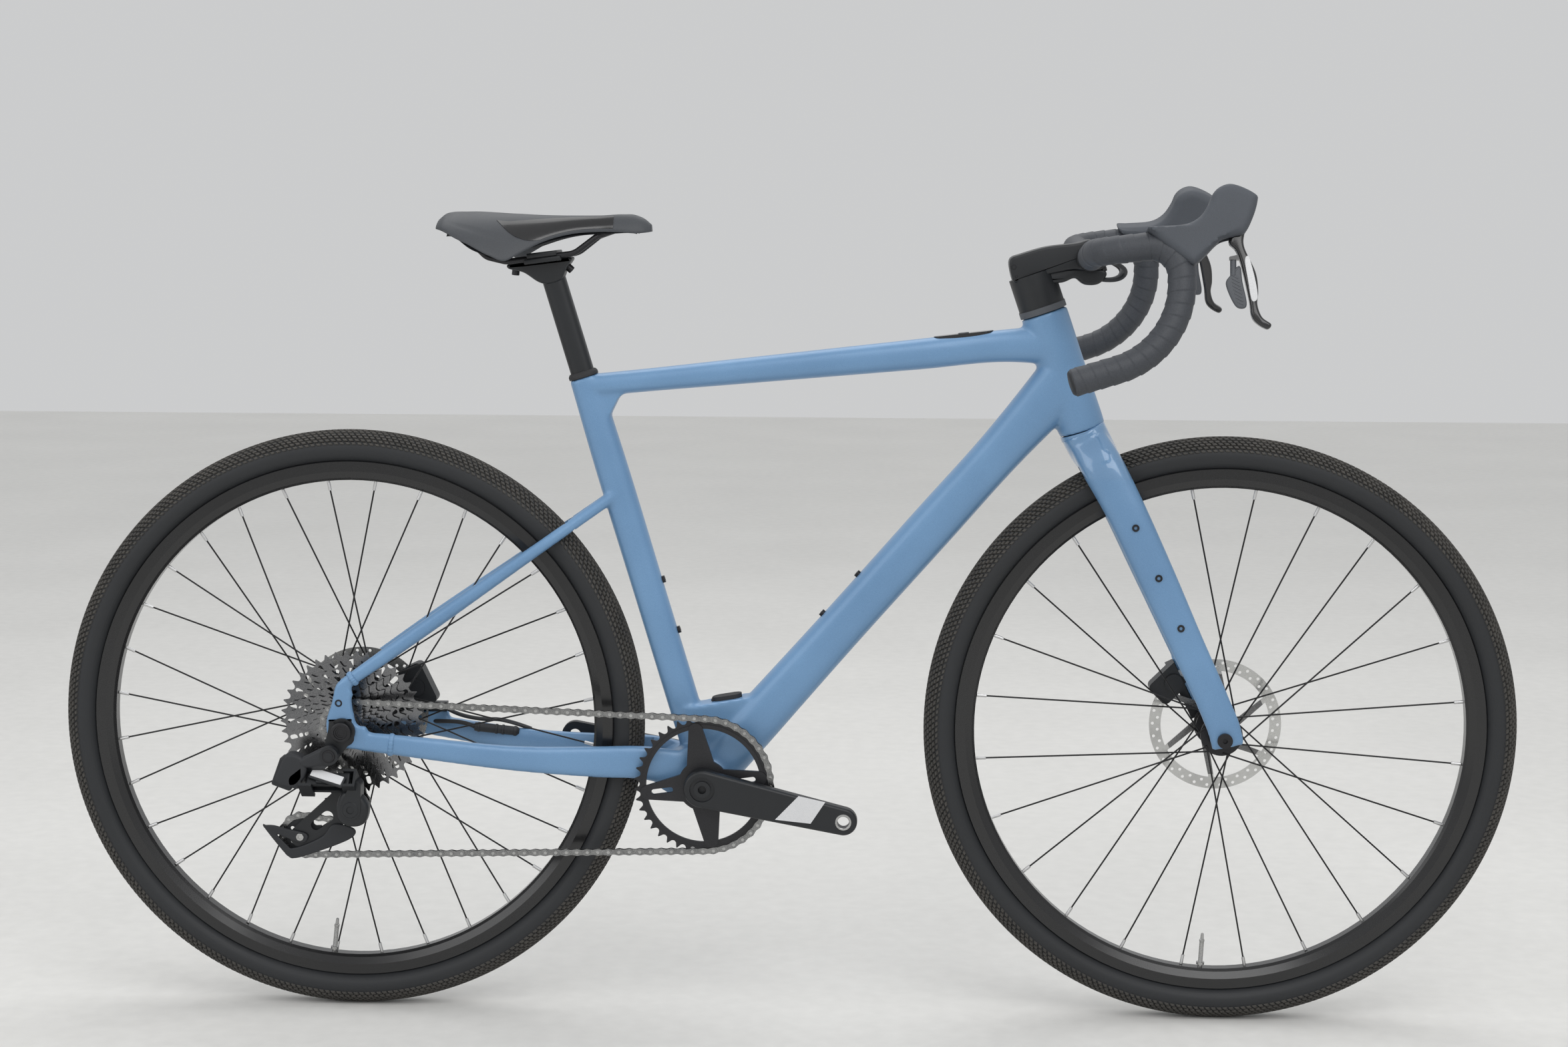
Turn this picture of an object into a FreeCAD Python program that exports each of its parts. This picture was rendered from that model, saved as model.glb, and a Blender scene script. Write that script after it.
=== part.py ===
"""Electric-assist gravel bike: an assembly of separate solids, +X forward, +Y to the left, +Z up.

The origin is on the ground, half way between the two axles. All sizes are millimetres and degrees.
"""
import FreeCAD, Part
import math
import os

os.makedirs("parts", exist_ok=True)

# Frame geometry
wheel_base = 1048.4
chain_stay_length = 435.2
bracket_drop = 66.0
seat_angle = 73.1
seat_tube_length = 508.0
seat_tube_width = 35.0
seat_tube_depth = 38.0
head_angle = 71.0
head_tube_length = 147.0
head_tube_radius = 27.5
head_bore_radius = 23.0
fork_length = 397.0
fork_offset = 43.0
top_tube_drop = 11.0
top_tube_head_height = 111.0
top_tube_width = 36.0
top_tube_seat_depth = 27.0
top_tube_head_depth = 39.0
down_tube_head_height = 64.8
down_tube_width = 52.0
down_tube_depth = 54.0
tube_wall = 2.6
down_tube_joint = 152.0
seat_tube_joint = 112.0
crotch_height = 92.0
crotch_depth = 60.0
crotch_width = 32.0

# Rear triangle
rear_axle_width = 142.0
dropout_thickness = 8.0
chain_stay_thickness = 15.0
chain_stay_rear_height = 22.0
chain_stay_front_height = 40.0
seat_stay_height = 364.0
seat_stay_top_size = 13.0
seat_stay_low_size = 17.0
seat_stay_spread = 36.0

# Wheels
tyre_radius = 355.0
tyre_width = 45.0
tyre_wall = 3.0
bead_radius = 311.0
rim_inner_radius = 294.0
rim_width = 28.0
rim_flange_height = 6.0
rim_flange_width = 2.9
spoke_radius = 1.0
nipple_radius = 2.0
nipple_length = 12.0
front_spoke_count = 24
rear_spoke_count = 32
front_flange_radius = 25.0
rear_flange_radius = 50.0
flange_thickness = 3.0
front_left_flange = 20.0
front_right_flange = -32.0
rear_left_flange = 32.0
rear_right_flange = -14.0
front_axle_width = 100.0
axle_radius = 6.0
rotor_radius = 80.0
rotor_thickness = 1.8
front_rotor_plane = 36.0
rear_rotor_plane = 54.0

# Drivetrain
chain_pitch = 12.7
chain_plane = -49.0
roller_radius = 3.875
plate_radius = 4.1
plate_thickness = 0.7
inner_width = 2.2
pin_radius = 1.8
ring_teeth = 40
cog_teeth = (11, 12, 13, 15, 17, 19, 21, 24, 28, 32, 36, 42)
driven_cog = 3
cog_spacing = 3.6
cog_thickness = 1.6
pulley_teeth = 12
tooth_height = 2.6
ring_thickness = 1.8
freehub_radius = 17.4
crank_length = 172.5
crank_tilt = 12.4
crank_plane = 62.0
crank_thickness = 14.0
crank_boss_radius = 22.5
crank_tip_radius = 16.5
pedal_hole_radius = 7.14
spindle_radius = 14.5
bracket_half_width = 42.0
bracket_radius = 25.0
bracket_bore_radius = 20.5
cup_width = 3.0

# Derailleur
hanger_pivot_back = 13.0
hanger_pivot_drop = 27.0
link_length = 48.0
link_slant = 40.0
link_gap = 15.0
link_width = 16.0
link_thickness = 5.0
link_pin_radius = 2.0
link_back = 40.0
link_drop = 62.0
link_plane = -82.0
cage_pivot_back = -11.0
cage_pivot_drop = 93.0
guide_offset = 13.0
guide_angle = 188.0
cage_length = 69.0
cage_gap = 12.4
cage_plate_thickness = 2.0

# Cockpit
steerer_radius = 14.3
crown_race_radius = 17.0
spacer_radius = 27.5
spacer_height = 34.0
stem_width = 42.0
stem_reach = 70.13
stem_fall = 9.22
bar_radius = 12.0
bar_clamp_radius = 15.9
bar_half_width = 208.0
tape_radius = 15.2
tape_rib = 0.9
tape_pitch = 11.0
lever_tilt = 12.0

# Seat
post_width = 26.0
post_depth = 28.0
post_insertion = 120.0
post_exposed = 122.0
saddle_length = 250.0
saddle_setback = 122.0
clamp_height = 28.2
clamp_setback = 2.7
rail_radius = 3.5
rail_spacing = 44.0

# Clearances
running_clearance = 0.05
seat_clearance = 0.1
turning_gap = 0.5

X_AXIS = FreeCAD.Vector(1, 0, 0)
Y_AXIS = FreeCAD.Vector(0, 1, 0)
Z_AXIS = FreeCAD.Vector(0, 0, 1)


def vec(x, y, z):
    return FreeCAD.Vector(x, y, z)


def polar(angle, radius=1.0):
    """Point of the XZ plane at an angle from +X towards +Z."""
    turn = math.radians(angle)
    return vec(radius * math.cos(turn), 0, radius * math.sin(turn))


# Reference points and directions of the frame
rear_axle = vec(-wheel_base / 2, 0, tyre_radius)
front_axle = vec(wheel_base / 2, 0, tyre_radius)
crank_axis = vec(
    rear_axle.x + math.sqrt(chain_stay_length ** 2 - bracket_drop ** 2),
    0,
    tyre_radius - bracket_drop,
)
head_up = polar(180 - head_angle)
head_front = polar(90 - head_angle)
head_low = front_axle + head_up * fork_length - head_front * fork_offset
head_top = head_low + head_up * head_tube_length
seat_up = polar(180 - seat_angle)
seat_front = polar(90 - seat_angle)
seat_top = crank_axis + seat_up * seat_tube_length
down_aim = head_low + head_up * down_tube_head_height
down_up = (down_aim - crank_axis).normalize()
down_length = (down_aim - crank_axis).Length
top_tube_rear = seat_top - seat_up * top_tube_drop
top_tube_front = head_low + head_up * top_tube_head_height
top_tube_along = (top_tube_front - top_tube_rear).normalize()
top_tube_length = (top_tube_front - top_tube_rear).Length


# Shape helpers
def cylinder(radius, start, end):
    axis = end - start
    return Part.makeCylinder(radius, axis.Length, start, axis)


def across(radius, centre, low, high):
    """Cylinder along Y between two side planes."""
    return cylinder(radius, vec(centre.x, low, centre.z), vec(centre.x, high, centre.z))


def washer(outer, inner, centre, low, high):
    """Ring along Y between two side planes."""
    return across(outer, centre, low, high).cut(across(inner, centre, low - 1, high + 1))


def block(low, high):
    size = high - low
    return Part.makeBox(size.x, size.y, size.z, low)


def turned_block(centre, along, side, length, width, depth):
    """Box centred on a point with its length along one direction and its width along another."""
    third = along.cross(side)
    corner = centre - along * (length / 2) - side * (width / 2) - third * (depth / 2)
    points = [
        corner,
        corner + along * length,
        corner + along * length + side * width,
        corner + side * width,
        corner,
    ]
    return Part.Face(Part.makePolygon(points)).extrude(third * depth)


def join(*shapes):
    return shapes[0].fuse(list(shapes[1:])).removeSplitter()


def both_sides(shape):
    """The shape and its mirror image in the mid plane."""
    return [shape, shape.mirror(vec(0, 0, 0), Y_AXIS)]


def oval(centre, along, width, depth, power=2.4, side=Y_AXIS, count=20):
    """Smooth closed section: a superellipse square to a direction, its width along the side axis."""
    third = along.cross(side)
    points = []
    for step in range(count):
        turn = 2 * math.pi * step / count
        c, s = math.cos(turn), math.sin(turn)
        u = math.copysign(abs(c) ** (2 / power), c) * width / 2
        v = math.copysign(abs(s) ** (2 / power), s) * depth / 2
        points.append(centre + side * u + third * v)
    return closed_curve(points)


def closed_curve(points):
    """Smooth closed wire through points, with evenly spaced knots."""
    curve = Part.BSplineCurve()
    curve.interpolate(Points=points, PeriodicFlag=True, Parameters=[float(n) for n in range(len(points) + 1)])
    return Part.Wire([curve.toShape()])


def loft(sections):
    return Part.makeLoft(sections, True, False)


def tube_loft(stations, inset=0.0):
    """Loft through (centre, direction, width, depth, power) stations, drawn in by an inset."""
    return loft([oval(c, d, w - 2 * inset, h - 2 * inset, p) for c, d, w, h, p in stations])


def line(a, b):
    return Part.LineSegment(a, b).toShape()


def arc(a, b, c):
    return Part.Arc(a, b, c).toShape()


def side_plate(edges, low, high):
    """Plate with an outline drawn in the XZ plane, between two side planes."""
    face = Part.Face(Part.Wire(edges))
    return face.translated(Y_AXIS * low).extrude(Y_AXIS * (high - low))


def polygon_plate(points, low, high):
    corners = [vec(p.x, low, p.z) for p in points]
    return Part.Face(Part.makePolygon(corners + corners[:1])).extrude(Y_AXIS * (high - low))


def strap(centre_a, radius_a, centre_b, radius_b, low, high):
    """Plate whose outline is two circles and their outer tangents."""
    reach = vec(centre_b.x - centre_a.x, 0, centre_b.z - centre_a.z)
    along = math.degrees(math.atan2(reach.z, reach.x))
    spread = math.degrees(math.acos((radius_a - radius_b) / reach.Length))
    a = vec(centre_a.x, 0, centre_a.z)
    b = vec(centre_b.x, 0, centre_b.z)
    a_up, a_low = a + polar(along + spread, radius_a), a + polar(along - spread, radius_a)
    b_up, b_low = b + polar(along + spread, radius_b), b + polar(along - spread, radius_b)
    edges = [
        line(a_up, b_up),
        arc(b_up, b + polar(along, radius_b), b_low),
        line(b_low, a_low),
        arc(a_low, a + polar(along + 180, radius_a), a_up),
    ]
    return side_plate(edges, low, high)


def turned(profile, centre):
    """Solid of revolution about the Y axis through a centre, from (radius, y) corners."""
    points = [vec(centre.x, y, centre.z + r) for r, y in profile]
    face = Part.Face(Part.makePolygon(points + points[:1]))
    return face.revolve(centre, Y_AXIS, 360)


def route(points, radii):
    """Straight runs joined by tangent arcs of the given radii at the inner points."""
    edges = []
    start = points[0]
    for before, corner, after, radius in zip(points, points[1:], points[2:], radii):
        u = (before - corner).normalize()
        w = (after - corner).normalize()
        half = u.getAngle(w) / 2
        cut = radius / math.tan(half)
        middle = (u + w).normalize()
        first, last = corner + u * cut, corner + w * cut
        crest = corner + middle * (radius / math.sin(half) - radius)
        edges.append(line(start, first))
        edges.append(arc(first, crest, last))
        start = last
    edges.append(line(start, points[-1]))
    return Part.Wire(edges)


def pipe(path, radius):
    """Round bar along a path of straight runs and tangent arcs."""
    first = path.OrderedEdges[0]
    start = first.valueAt(first.FirstParameter)
    heading = first.tangentAt(first.FirstParameter)
    ring = Part.Wire([Part.Circle(start, heading, radius).toShape()])
    return path.makePipeShell([ring], True, False)


def save(name, *shapes):
    solids = [solid for shape in shapes for solid in shape.Solids]
    Part.makeCompound(solids).exportStep("parts/" + name + ".step")


# Front triangle
down_normal = down_up.cross(Y_AXIS)
seat_crest = seat_front
top_normal = vec(-top_tube_along.z, 0, top_tube_along.x)


def along_seat(t):
    return crank_axis + seat_up * t


def along_down(t):
    return crank_axis + down_up * t


def along_top(t, drop=0.0):
    return top_tube_rear + top_tube_along * t - top_normal * drop


seat_stations = [
    (along_seat(0), seat_up, seat_tube_width, seat_tube_depth, 2.6),
    (along_seat(seat_tube_length * 0.45), seat_up, seat_tube_width, seat_tube_depth, 2.6),
    (along_seat(seat_tube_length * 0.8), seat_up, seat_tube_width - 1, seat_tube_depth, 2.6),
    (along_seat(seat_tube_length), seat_up, post_width + 6, post_depth + 6, 2.6),
]


def even(low, high, count):
    """Evenly spaced values from low to high."""
    return [low + (high - low) * step / (count - 1) for step in range(count)]


down_stations = [
    (along_down(0), down_up, down_tube_width + 4, down_tube_depth + 4, 2.8),
    (along_down(down_tube_joint / 2), down_up, down_tube_width + 3, down_tube_depth + 4, 2.8),
    (along_down(down_tube_joint), down_up, down_tube_width + 1, down_tube_depth + 2, 2.8),
]
for place in even(down_length * 0.36, down_length - 110, 5):
    down_stations.append((along_down(place), down_up, down_tube_width, down_tube_depth, 2.8))
down_stations += [
    (along_down(down_length - 55), down_up, down_tube_width, down_tube_depth + 5, 2.7),
    (along_down(down_length), down_up, 2 * head_tube_radius - 5, down_tube_depth + 13, 2.4),
]


def top_station(t, depth, flare=0.0, width=top_tube_width):
    return (along_top(t, flare / 2), top_tube_along, width, depth + flare, 2.6)


top_stations = [
    top_station(0, top_tube_seat_depth, 24, top_tube_width - 5),
    top_station(34, top_tube_seat_depth, 8, top_tube_width - 3),
]
for place, depth in zip(even(66, top_tube_length - 50, 7), even(top_tube_seat_depth, top_tube_head_depth, 7)):
    top_stations.append(top_station(place, depth))
top_stations.append(top_station(top_tube_length, top_tube_head_depth, 6, 2 * head_tube_radius - 12))
seat_loft = tube_loft(seat_stations)
down_loft = tube_loft(down_stations)
down_hollow = tube_loft(down_stations, tube_wall)
top_loft = tube_loft(top_stations)
head_solid = cylinder(head_tube_radius, head_low, head_top)
bracket_solid = across(bracket_radius, crank_axis, -bracket_half_width, bracket_half_width)
tyre_room = across(tyre_radius + 9, rear_axle, -tyre_width / 2 - 6.5, tyre_width / 2 + 6.5)


def below(axis_point, direction, distance):
    """Large block that covers a tube from below its foot to a distance along it."""
    reach = 120
    middle = axis_point + direction * ((distance - reach) / 2)
    return turned_block(middle, direction, Y_AXIS, distance + reach, 2 * reach, 2 * reach)


def post_section(t, grow=0.0):
    return oval(along_seat(t), seat_up, post_width + grow, post_depth + grow, 2.8)


def bolt_at(surface, outward, shank, head_radius=4.3, head_height=3.6):
    """Socket-head bolt with its shank into the wall behind a surface point."""
    top = surface + outward * head_height
    body = cylinder(2.5, surface - outward * shank, surface).fuse(cylinder(head_radius, surface, top))
    return body.cut(cylinder(2.0, top - outward * 2.2, top + outward))


def bolt_room(surface, outward, depth):
    """Clearance hole for a bolt shank and a flat seat for its head."""
    hole = cylinder(2.5 + running_clearance, surface - outward * depth, surface + outward * 3)
    return hole.fuse(cylinder(5.0, surface, surface + outward * 4))


bottle_places = [
    (along_down(245) + down_normal * (down_tube_depth / 2 - 0.3), down_normal, tube_wall),
    (along_down(309) + down_normal * (down_tube_depth / 2 - 0.3), down_normal, tube_wall),
    (along_seat(183) + seat_crest * (seat_tube_depth / 2 - 0.3), seat_crest, 3.5),
    (along_seat(247) + seat_crest * (seat_tube_depth / 2 - 0.3), seat_crest, 3.5),
]
bottle_holes = [bolt_room(p, n, d + 0.2) for p, n, d in bottle_places]

# Controller recess on the top tube
controller_length = 71.0
controller_width = 20.0
controller_height = 5.0
controller_back = 105.0
controller_proud = 1.0
button_radius = 6.5
button_proud = 0.9
crest_rear = along_top(66) + top_normal * (top_tube_seat_depth / 2)
crest_front = along_top(top_tube_length - 50) + top_normal * (top_tube_head_depth / 2)
crest_along = (crest_front - crest_rear).normalize()
crest_normal = vec(-crest_along.z, 0, crest_along.x)
controller_middle = crest_front - crest_along * (controller_back - 50)


def obround(centre, along, normal, length, width, low, high):
    """Round-ended plate along a direction, between two heights on a normal."""
    side = normal.cross(along)
    radius = width / 2
    half = length / 2 - radius
    base = centre + normal * low
    a, b = base - along * half, base + along * half
    edges = [
        line(a + side * radius, b + side * radius),
        arc(b + side * radius, b + along * radius, b - side * radius),
        line(b - side * radius, a - side * radius),
        arc(a - side * radius, a - along * radius, a + side * radius),
    ]
    return Part.Face(Part.Wire(edges)).extrude(normal * (high - low))


# Charge port on the crotch above the bottom bracket
crotch_rear = along_seat(crotch_height)
crotch_front = along_down(crotch_height + crotch_depth - 8)
crotch_along = (crotch_front - crotch_rear).normalize()
crotch_normal = vec(-crotch_along.z, 0, crotch_along.x)
port_middle = crotch_rear + (crotch_front - crotch_rear) * 0.43
port_length = 36.0
port_width = 21.0
port_cover_height = 5.0
port_hinge_height = 1.9
port_hinge_radius = 1.6
port_hinge_reach = 6.0
port_radius = 8.0
port_depth = 14.0


def head_tube():
    return head_solid.cut(cylinder(head_bore_radius, head_low - head_up, head_top + head_up))


def top_tube():
    collar_room = loft([oval(along_seat(t), seat_up, post_width + 7, post_depth + 7, 2.6)
                        for t in (seat_tube_length, seat_tube_length + 40)])
    tube = top_loft.cut([seat_loft, head_solid, collar_room])
    hollow = tube_loft(top_stations[2:6], tube_wall)
    recess = obround(controller_middle, crest_along, crest_normal, controller_length + 2 * seat_clearance,
                     controller_width + 2 * seat_clearance, controller_proud - controller_height, 9)
    return tube.cut([hollow, recess])


def down_tube():
    tube = down_loft.cut([below(crank_axis, down_up, down_tube_joint), head_solid])
    return tube.cut([down_hollow] + bottle_holes[:2])


def seat_tube():
    tube = seat_loft.cut(below(crank_axis, seat_up, seat_tube_joint))
    bore = loft([post_section(0, 2 * seat_clearance), post_section(seat_tube_length + 5, 2 * seat_clearance)])
    return tube.cut([bore] + bottle_holes[2:])


yoke_half_width = 32.0


def yoke_corners():
    offsets = [(0, -24), (-38, -19), (-58, -6), (-62, 14), (-54, 28), (-22, 42), (0, 44)]
    return [crank_axis + vec(x, 0, z) for x, z in offsets]


def bottom_bracket_shell():
    foot_of_down = down_loft.common(below(crank_axis, down_up, down_tube_joint))
    foot_of_seat = seat_loft.common(below(crank_axis, seat_up, seat_tube_joint))
    crotch = polygon_plate([crank_axis, crotch_rear, crotch_front], -crotch_width / 2, crotch_width / 2)
    yoke = polygon_plate(yoke_corners(), -yoke_half_width, yoke_half_width)
    shell = join(foot_of_down, foot_of_seat, crotch, yoke, bracket_solid)
    bore = across(bracket_bore_radius, crank_axis, -bracket_half_width - 1, bracket_half_width + 1)
    pocket = cylinder(port_radius + seat_clearance, port_middle - crotch_normal * port_depth,
                      port_middle + crotch_normal * 9)
    hollow = down_hollow.cut(below(crank_axis, down_up, bracket_radius + 40))
    return shell.cut([tyre_room, bore, pocket, hollow])


bracket_node = bottom_bracket_shell()


# Rear triangle
dropout_inner = rear_axle_width / 2
dropout_outer = dropout_inner + dropout_thickness


def stay_point(share, y, height):
    """Point a share of the way from the crank axis to the rear axle, raised by a height."""
    base = crank_axis + (rear_axle - crank_axis) * share
    return vec(base.x, -y, base.z + height)


chain_stay_stations = [
    (stay_point(0.06, 27, 10), chain_stay_front_height + 4),
    (stay_point(0.17, 34.0, 12), chain_stay_front_height),
    (stay_point(0.30, 39.5, 5), chain_stay_front_height - 3),
    (stay_point(0.52, 53, -4), chain_stay_front_height - 11),
    (stay_point(0.76, 66.0, -7), chain_stay_rear_height + 3),
    (stay_point(0.95, dropout_inner + 3.5, -9), chain_stay_rear_height),
]


def spine(points):
    """Direction of a path at each of its points."""
    last = len(points) - 1
    return [(points[min(i + 1, last)] - points[max(i - 1, 0)]).normalize() for i in range(len(points))]


def level_side(direction):
    """Level unit vector square to a direction, towards +Y."""
    side = Z_AXIS.cross(direction).normalize()
    return side if side.y > 0 else side * -1


def stay_loft(points, widths, heights, power):
    sections = []
    for centre, along, width, height in zip(points, spine(points), widths, heights):
        sections.append(oval(centre, along, width, height, power, level_side(along)))
    return loft(sections)


dropout_outline = [
    (-6, 58), (8, 53), (13, 44), (11, 36), (17, 8), (29, 4), (29, -20), (10, -22),
    (-6, -19), (-16, -11), (-20, 2), (-19, 15), (-13, 33),
]


def dropout():
    corners = [rear_axle + vec(x, 0, z) for x, z in dropout_outline]
    return polygon_plate(corners, -dropout_outer, -dropout_inner)


rear_foot_height = -1.0


def caliper_foot(width_low, width_high):
    """Level pad on the left chain stay under the rear brake."""
    low = vec(rear_axle.x + 42, width_low, rear_axle.z - 14)
    return block(low, vec(rear_axle.x + 104, width_high, rear_axle.z + rear_foot_height))


def chain_stays():
    points = [p for p, h in chain_stay_stations]
    heights = [h for p, h in chain_stay_stations]
    bar = stay_loft(points, [chain_stay_thickness] * 4 + [14.0, 9.0], heights, 3.0)
    right = join(bar, dropout())
    left = join(right.mirror(vec(0, 0, 0), Y_AXIS), caliper_foot(62, 72))
    hole = across(axle_radius + running_clearance, rear_axle, -dropout_outer - 1, dropout_outer + 1)
    return [side.cut([hole, bracket_node, tyre_room]) for side in (right, left)]


seat_stay_top = along_seat(seat_stay_height)
seat_stay_foot = rear_axle + vec(1, 0, 55)


def seat_stay_point(share, y):
    base = seat_stay_top + (seat_stay_foot - seat_stay_top) * share
    return vec(base.x, -y, base.z)


def seat_stays(chain_sides):
    points = [
        seat_stay_point(0.0, 10),
        seat_stay_point(0.12, 20),
        seat_stay_point(0.25, seat_stay_spread - 3),
        seat_stay_point(0.42, seat_stay_spread + 7),
        seat_stay_point(0.75, dropout_inner - 10),
        seat_stay_point(1.0, dropout_inner + 3.5),
    ]
    low, high = seat_stay_top_size, seat_stay_low_size
    sizes = [low, low, low, low + 1.5, high, high - 3]
    bar = stay_loft(points, sizes[:-1] + [9.0], sizes, 2.2)
    bridge = across(low / 2 - 1, seat_stay_point(0.1, 0), -19, 19)
    pair = join(*both_sides(bar), bridge)
    return pair.cut([seat_loft] + chain_sides)


hanger_pivot = rear_axle + vec(-hanger_pivot_back, 0, -hanger_pivot_drop)
hanger_thickness = 4.0
hanger_outer = dropout_outer + hanger_thickness
hanger_bolt_radius = 5.0


def derailleur_hanger():
    plate = strap(rear_axle, 16.0, hanger_pivot, 10.0, -hanger_outer, -dropout_outer)
    axle_hole = across(axle_radius + running_clearance, rear_axle, -hanger_outer - 1, 0)
    bolt_hole = across(hanger_bolt_radius + running_clearance, hanger_pivot, -hanger_outer - 1, 0)
    screws = [rear_axle + vec(x, 0, 11) for x in (-7.5, 5.0)]
    sinks = [across(1.8, p, -hanger_outer - 1, -hanger_outer + 1.2) for p in screws]
    return plate.cut([axle_hole, bolt_hole] + sinks)


# Bearings in the head tube and the bottom bracket
bearing_height = 9.0
bearing_width = 12.0


def sleeve(outer, inner, start, end):
    reach = (end - start).normalize()
    return cylinder(outer, start, end).cut(cylinder(inner, start - reach, end + reach))


def frame_bearings():
    rings = [
        sleeve(head_bore_radius - running_clearance, crown_race_radius + running_clearance,
               head_low, head_low + head_up * bearing_height),
        sleeve(head_bore_radius - running_clearance, steerer_radius + running_clearance,
               head_top - head_up * bearing_height, head_top),
    ]
    outer = bracket_bore_radius - running_clearance
    inner = spindle_radius + running_clearance
    edge = bracket_half_width
    cup = turned([(inner, -edge - cup_width), (bracket_radius - 2, -edge - cup_width),
                  (bracket_radius - 2, -edge), (outer, -edge), (outer, -edge + bearing_width),
                  (inner, -edge + bearing_width)], crank_axis)
    return rings + both_sides(cup)


def battery_pack():
    low = below(crank_axis, down_up, down_tube_joint + 30)
    high = turned_block(along_down(down_length), down_up, Y_AXIS, 260, 200, 200)
    shrunk = tube_loft(down_stations, tube_wall + 0.3)
    pack = shrunk.cut([low, high])
    socket = cylinder(port_radius, port_middle - crotch_normal * port_depth, port_middle)
    pins = [port_middle + vec(0, y, 0) for y in (-3, 0, 3)]
    holes = [cylinder(1.0, p - crotch_normal * 6, p + crotch_normal) for p in pins]
    return [pack, socket.cut(holes)]


def top_tube_controller():
    body = obround(controller_middle, crest_along, crest_normal, controller_length, controller_width,
                   controller_proud - controller_height, controller_proud)
    well = cylinder(button_radius + seat_clearance, controller_middle - crest_normal * 2.5,
                    controller_middle + crest_normal * 5)
    return body.cut(well)


def control_button():
    low = controller_middle - crest_normal * 1.2
    high = controller_middle + crest_normal * (controller_proud + button_proud)
    button = cylinder(button_radius, low, high)
    return button.makeChamfer(0.4, [e for e in button.Edges if e.Closed and
                                    (e.CenterOfMass - high).Length < 0.01])


def charge_port_cover():
    """Rubber flap with its hinge barrel at the rear edge."""
    flap = obround(port_middle, crotch_along, crotch_normal, port_length, port_width, 0.2, port_cover_height)
    plug = cylinder(port_radius - 1.5, port_middle + crotch_normal * 0.2, port_middle + crotch_normal)
    hinge = port_middle - crotch_along * (port_length / 2) + crotch_normal * port_hinge_height
    barrel = cylinder(port_hinge_radius, hinge - Y_AXIS * port_hinge_reach, hinge + Y_AXIS * port_hinge_reach)
    return join(flap, plug, barrel)


def seatpost_collar():
    """Soft ring that seals the seatpost on the top of the seat tube."""
    outer = [oval(seat_top + seat_up * h, seat_up, post_width + grow, post_depth + grow, 2.6)
             for h, grow in ((0, 6.5), (4, 6.5), (7, 3.0))]
    hole = loft([post_section(seat_tube_length - 2, 2 * seat_clearance),
                 post_section(seat_tube_length + 9, 2 * seat_clearance)])
    return loft(outer).cut(hole)


chain_stay_sides = chain_stays()
save("head_tube", head_tube())
save("top_tube", top_tube())
save("down_tube", down_tube())
save("seat_tube", seat_tube())
save("bottom_bracket_shell", bracket_node)
save("chain_stays", *chain_stay_sides)
save("seat_stays", seat_stays(chain_stay_sides))
save("derailleur_hanger", derailleur_hanger())
save("frame_bearings", *frame_bearings())
save("battery_pack", *battery_pack())
save("top_tube_controller", top_tube_controller())
save("control_button", control_button())
save("charge_port_cover", charge_port_cover())
save("seatpost_collar", seatpost_collar())
save("bottle_bolts", *[bolt_at(p, n, d) for p, n, d in bottle_places])


# Wheels
def tyre(centre):
    """Hollow carcass, open at the beads: round tread, full sidewalls and straight beads."""
    half = tyre_width / 2
    bead = rim_width / 2 - rim_flange_width - seat_clearance
    shoulder = tyre_radius - 6.5

    def at(radius, y):
        return vec(centre.x, y, centre.z + radius)

    def skin(inset, foot):
        flange = bead_radius + rim_flange_height + 0.4
        side = half - inset
        crown = tyre_radius - inset
        edge = shoulder - inset * 0.8
        wide = half * 0.64 - inset * 0.8
        return [
            line(at(foot, -bead + inset * 0.9), at(flange, -bead + inset * 0.9)),
            arc(at(flange, -bead + inset * 0.9), at(tyre_radius - 21, -side), at(edge, -wide)),
            arc(at(edge, -wide), at(crown, 0), at(edge, wide)),
            arc(at(edge, wide), at(tyre_radius - 21, side), at(flange, bead - inset * 0.9)),
            line(at(flange, bead - inset * 0.9), at(foot, bead - inset * 0.9)),
        ]

    foot = bead_radius + seat_clearance
    outer, inner = skin(0.0, foot), skin(tyre_wall, foot)
    low = bead - tyre_wall * 0.9
    feet = [line(at(foot, bead), at(foot, low)), line(at(foot, -low), at(foot, -bead))]
    wire = Part.Wire(Part.__sortEdges__(outer + inner + feet))
    return Part.Face(wire).revolve(centre, Y_AXIS, 360)


def rim(centre):
    """Hooked hollow rim with a drop channel."""
    half = rim_width / 2
    hook = half - rim_flange_width
    edge = bead_radius + rim_flange_height
    skin = [
        (edge, half), (edge, hook), (bead_radius, hook), (bead_radius, hook - 4), (bead_radius - 4, hook - 6),
        (bead_radius - 4, 6 - hook), (bead_radius, 4 - hook), (bead_radius, -hook), (edge, -hook),
        (edge, -half), (bead_radius - 6, -half), (rim_inner_radius + 3, 4 - half),
        (rim_inner_radius, 7 - half), (rim_inner_radius, half - 7), (rim_inner_radius + 3, half - 4),
        (bead_radius - 6, half),
    ]
    chamber = [
        (bead_radius - 6, hook - 3), (bead_radius - 6, 3 - hook), (rim_inner_radius + 4, 7 - half),
        (rim_inner_radius + 2, 9 - half), (rim_inner_radius + 2, half - 9), (rim_inner_radius + 4, half - 7),
    ]
    return turned(skin, centre).cut(turned(chamber, centre))


def spoke(centre, hub_angle, hub_radius, hub_y, rim_angle, rim_y):
    """Round wire from beside a flange to its nipple at the rim."""
    foot = centre + polar(hub_angle, hub_radius) + Y_AXIS * hub_y
    end = centre + polar(rim_angle, rim_inner_radius - seat_clearance) + Y_AXIS * rim_y
    reach = (end - foot).normalize()
    collar = end - reach * nipple_length
    wire = cylinder(spoke_radius, foot, collar)
    nipple = cylinder(nipple_radius, collar, end - reach * 0.6)
    return wire.fuse(nipple).removeSplitter()


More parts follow.
